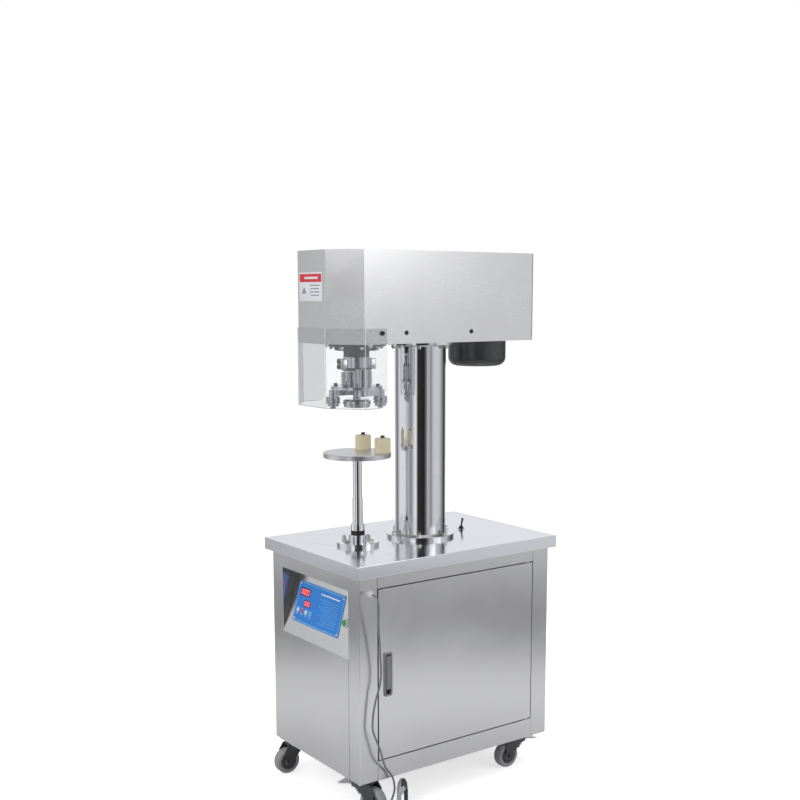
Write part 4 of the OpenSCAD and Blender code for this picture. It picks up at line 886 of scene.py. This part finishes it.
# %% Races, nuts and wheel discs
CASTER_PINS = {"front_left": (-0.18, -0.3), "front_right": (0.18, -0.3), "rear_left": (-0.18, 0.266),
               "rear_right": (0.18, 0.266)}
RACE_HEIGHT, PLATE_UNDER = 0.0915, 0.096
NUT_X, NUT_Y = 0.0335, 0.0315
DISC_OUT = 0.0128
RACE_OUTLINE = [(0.0266, 0), (0.0312, 0), (0.033, 0.0016), (0.033, 0.0034), (0.0318, 0.0045), (0.0266, 0.0045)]
DISC_OUTLINE = [(0.0115, 0), (0.0252, 0), (0.0252, 0.0008), (0.021, 0.0016), (0.016, 0.0016), (0.0115, 0.001)]
for corner, (pin_x, pin_y) in CASTER_PINS.items():
    fit(holed(f"race_{corner}", RACE_OUTLINE), shift(pin_x, pin_y, RACE_HEIGHT), "frame",
        finishes["bolt_steel"])
    for number, (x, y) in enumerate([(-NUT_X, -NUT_Y), (NUT_X, -NUT_Y), (-NUT_X, NUT_Y), (NUT_X, NUT_Y)]):
        fit(hex_nut(f"plate_nut_{corner}_{number}", 0.0052, 0.0032),
            pointing((pin_x + x, pin_y + y, PLATE_UNDER), DOWN), "frame", finishes["bolt_steel"], 20)
    wheel_low, wheel_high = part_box("wheel_" + corner)
    hub = (Vector(wheel_low) + Vector(wheel_high)) / 2
    roll_way = Vector((hub.x - pin_x, hub.y - pin_y, 0)).cross(Vector((0, 0, 1))).normalized()
    for side in (-1, 1):
        fit(holed(f"wheel_disc_{corner}_{side + 1}", DISC_OUTLINE),
            pointing(hub + roll_way * side * DISC_OUT, roll_way * side), "wheel_" + corner,
            finishes["dark_paint"])
print(len(small_parts), "small parts so far")

# %% [markdown]
# ## Ribs of the foot switch
# A treadle has raised ribs for the sole of a shoe. The ribs are thin plates with round ends, copied up the face.

# %% Ribs
TREADLE_PLACE, TREADLE_TURN = (0.2535, -0.216, 0), 54
RIBS, RIB_OUT, RIB_FIRST_UP, RIB_STEP = 7, 0.0149, 0.011, 0.0075
treadle_frame = shift(*TREADLE_PLACE) @ turn(TREADLE_TURN, "Z")
rib_turn = turn(90, "Y") @ turn(90, "Z")
rib = plate("treadle_rib_first", 0.044, 0.0026, 0.0011, 0.0012, 0.0004, 4)
for number in range(RIBS):
    place = treadle_frame @ shift(RIB_OUT, 0, RIB_FIRST_UP + RIB_STEP * number) @ rib_turn
    small_parts.append(belong(copied(rib, f"treadle_rib_{number}", place), "pedal_treadle",
                              finishes["black_rubber"]))
bpy.data.objects.remove(rib)
print(len(small_parts), "small parts in all")

# %% [markdown]
# ## Studio
# A pale floor, a pale background and soft light, as a catalogue shows such a machine. The camera sees a white floor,
# and the steel sees one whose tone changes with the distance from the machine, up to where the surroundings begin.
# That tone is painted: darker right by the machine as painted shade, then bright and then dark as painted
# reflection.

# %% Floor
FLOOR_SIZE = 60
# Tones that only reflected rays see: painted shade next to the machine, then painted reflection tones further out.
FLOOR_PAINTED_TONES = [(0.0, 0.7), (0.07, 0.76), (0.115, 1.0), (0.16, 1.0), (0.22, 0.36), (1.0, 0.3)]
TONES_REACH = 8
FLOOR_MIRRORED_TO = 2.9
SEEN_GLOW = 0.6
bpy.ops.object.select_all(action="DESELECT")
bpy.ops.mesh.primitive_plane_add(size=FLOOR_SIZE)
floor = name_new("floor")
floor_paint = bpy.data.materials.new("floor paint")
floor_paint.use_nodes = True
floor_tree = floor_paint.node_tree
floor_shader = floor_tree.nodes["Principled BSDF"]
floor_shader.inputs["Roughness"].default_value = 0.8
floor_shader.inputs["Emission Color"].default_value = (1, 1, 1, 1)
reach = floor_tree.nodes.new("ShaderNodeVectorMath")
reach.operation = "LENGTH"
floor_tree.links.new(floor_tree.nodes.new("ShaderNodeTexCoord").outputs["Object"], reach.inputs[0])
painted_floor_tones = floor_tree.nodes.new("ShaderNodeValToRGB")
for number, (stop, value) in enumerate(FLOOR_PAINTED_TONES):
    knot = painted_floor_tones.color_ramp.elements[number] if number < 2 else painted_floor_tones.color_ramp.elements.new(stop)
    knot.position = stop
    knot.color = (value, value, value * 1.01, 1)
floor_tree.links.new(add_math(floor_tree, "MULTIPLY", reach.outputs["Value"], 1 / TONES_REACH), painted_floor_tones.inputs[0])
seen_directly = floor_tree.nodes.new("ShaderNodeLightPath").outputs["Is Camera Ray"]
floor_tone = floor_tree.nodes.new("ShaderNodeMix")
floor_tone.data_type = "RGBA"
floor_tone.inputs[7].default_value = (0.93, 0.93, 0.93, 1)
floor_tree.links.new(seen_directly, floor_tone.inputs[0])
floor_tree.links.new(painted_floor_tones.outputs["Color"], floor_tone.inputs[6])
floor_tree.links.new(floor_tone.outputs[2], floor_shader.inputs["Base Color"])
floor_tree.links.new(add_math(floor_tree, "MULTIPLY", seen_directly, SEEN_GLOW),
                     floor_shader.inputs["Emission Strength"])
near_floor = add_math(floor_tree, "LESS_THAN", reach.outputs["Value"], FLOOR_MIRRORED_TO)
floor_tree.links.new(add_math(floor_tree, "MAXIMUM", near_floor, seen_directly), floor_shader.inputs["Alpha"])
floor.data.materials.append(floor_paint)
print("floor laid")

# %% [markdown]
# Three large soft lights give the upper faces and the small parts their shape: a key over the operator's shoulder,
# a fill from the right, and one overhead.

# %% Lights
def softbox(name, place, aim, width, height, power):
    """A rectangular area light at place, aimed at a point."""
    light = bpy.data.lights.new(name, "AREA")
    light.shape = "RECTANGLE"
    light.size = width
    light.size_y = height
    light.energy = power
    lamp = bpy.data.objects.new(name, light)
    lamp.matrix_world = pointing(place, Vector(place) - Vector(aim))
    bpy.context.scene.collection.objects.link(lamp)


softbox("key", (1.2, -3.4, 3.0), (0, 0, 0.9), 2.4, 1.8, 42)
softbox("fill", (3.6, 1.4, 2.6), (0, 0, 0.8), 2.0, 2.0, 22)
softbox("top", (0.2, 0.2, 4.0), (0, 0, 0.7), 2.6, 2.6, 34)
print("lights hung")

# %% [markdown]
# Steel shows what stands round it. The surroundings are a ring of brighter and darker upright bands, which give the
# column its long streaks and the door its soft change of tone. Each band is a part of the full turn and a
# brightness. The camera itself sees plain white.

# %% Surroundings
BANDS = [(0.0, 0.6), (0.042, 0.15), (0.083, 0.55), (0.106, 0.9), (0.194, 0.9), (0.25, 0.5), (0.286, 0.3),
         (0.308, 0.6), (0.333, 1.0), (0.35, 0.95), (0.365, 0.04), (0.45, 0.02), (0.475, 0.2), (0.495, 0.6),
         (0.515, 0.5), (0.535, 0.3), (0.57, 0.7), (0.61, 0.78), (0.667, 0.7), (0.708, 0.4), (0.764, 0.05),
         (0.8, 0.1), (0.84, 0.75), (0.88, 0.95), (0.94, 0.9), (1.0, 0.6)]
COOL_RED, COOL_GREEN, COOL_BLUE = 0.985, 0.99, 1.02
MIRRORED_STRENGTH = 0.95
world = bpy.data.worlds.new("studio")
bpy.context.scene.world = world
world.use_nodes = True
sky = world.node_tree
sky.nodes.clear()
way = sky.nodes.new("ShaderNodeTexCoord").outputs["Generated"]
turned_way = sky.nodes.new("ShaderNodeTexGradient")
turned_way.gradient_type = "RADIAL"
bands = sky.nodes.new("ShaderNodeValToRGB")
for number, (stop, value) in enumerate(BANDS):
    knot = bands.color_ramp.elements[number] if number < 2 else bands.color_ramp.elements.new(stop)
    knot.position = stop
    knot.color = (value * COOL_RED, value * COOL_GREEN, value * COOL_BLUE, 1)
lit = sky.nodes.new("ShaderNodeBackground")
lit.inputs["Strength"].default_value = MIRRORED_STRENGTH
seen = sky.nodes.new("ShaderNodeBackground")
seen.inputs["Color"].default_value = (1, 1, 1, 1)
seen.inputs["Strength"].default_value = 1.0
choice = sky.nodes.new("ShaderNodeMixShader")
out = sky.nodes.new("ShaderNodeOutputWorld")
sky.links.new(way, turned_way.inputs["Vector"])
sky.links.new(turned_way.outputs[0], bands.inputs[0])
sky.links.new(bands.outputs["Color"], lit.inputs["Color"])
sky.links.new(sky.nodes.new("ShaderNodeLightPath").outputs["Is Camera Ray"], choice.inputs[0])
sky.links.new(lit.outputs[0], choice.inputs[1])
sky.links.new(seen.outputs[0], choice.inputs[2])
sky.links.new(choice.outputs[0], out.inputs["Surface"])
bpy.context.scene.view_settings.view_transform = "Standard"
print("surroundings set")
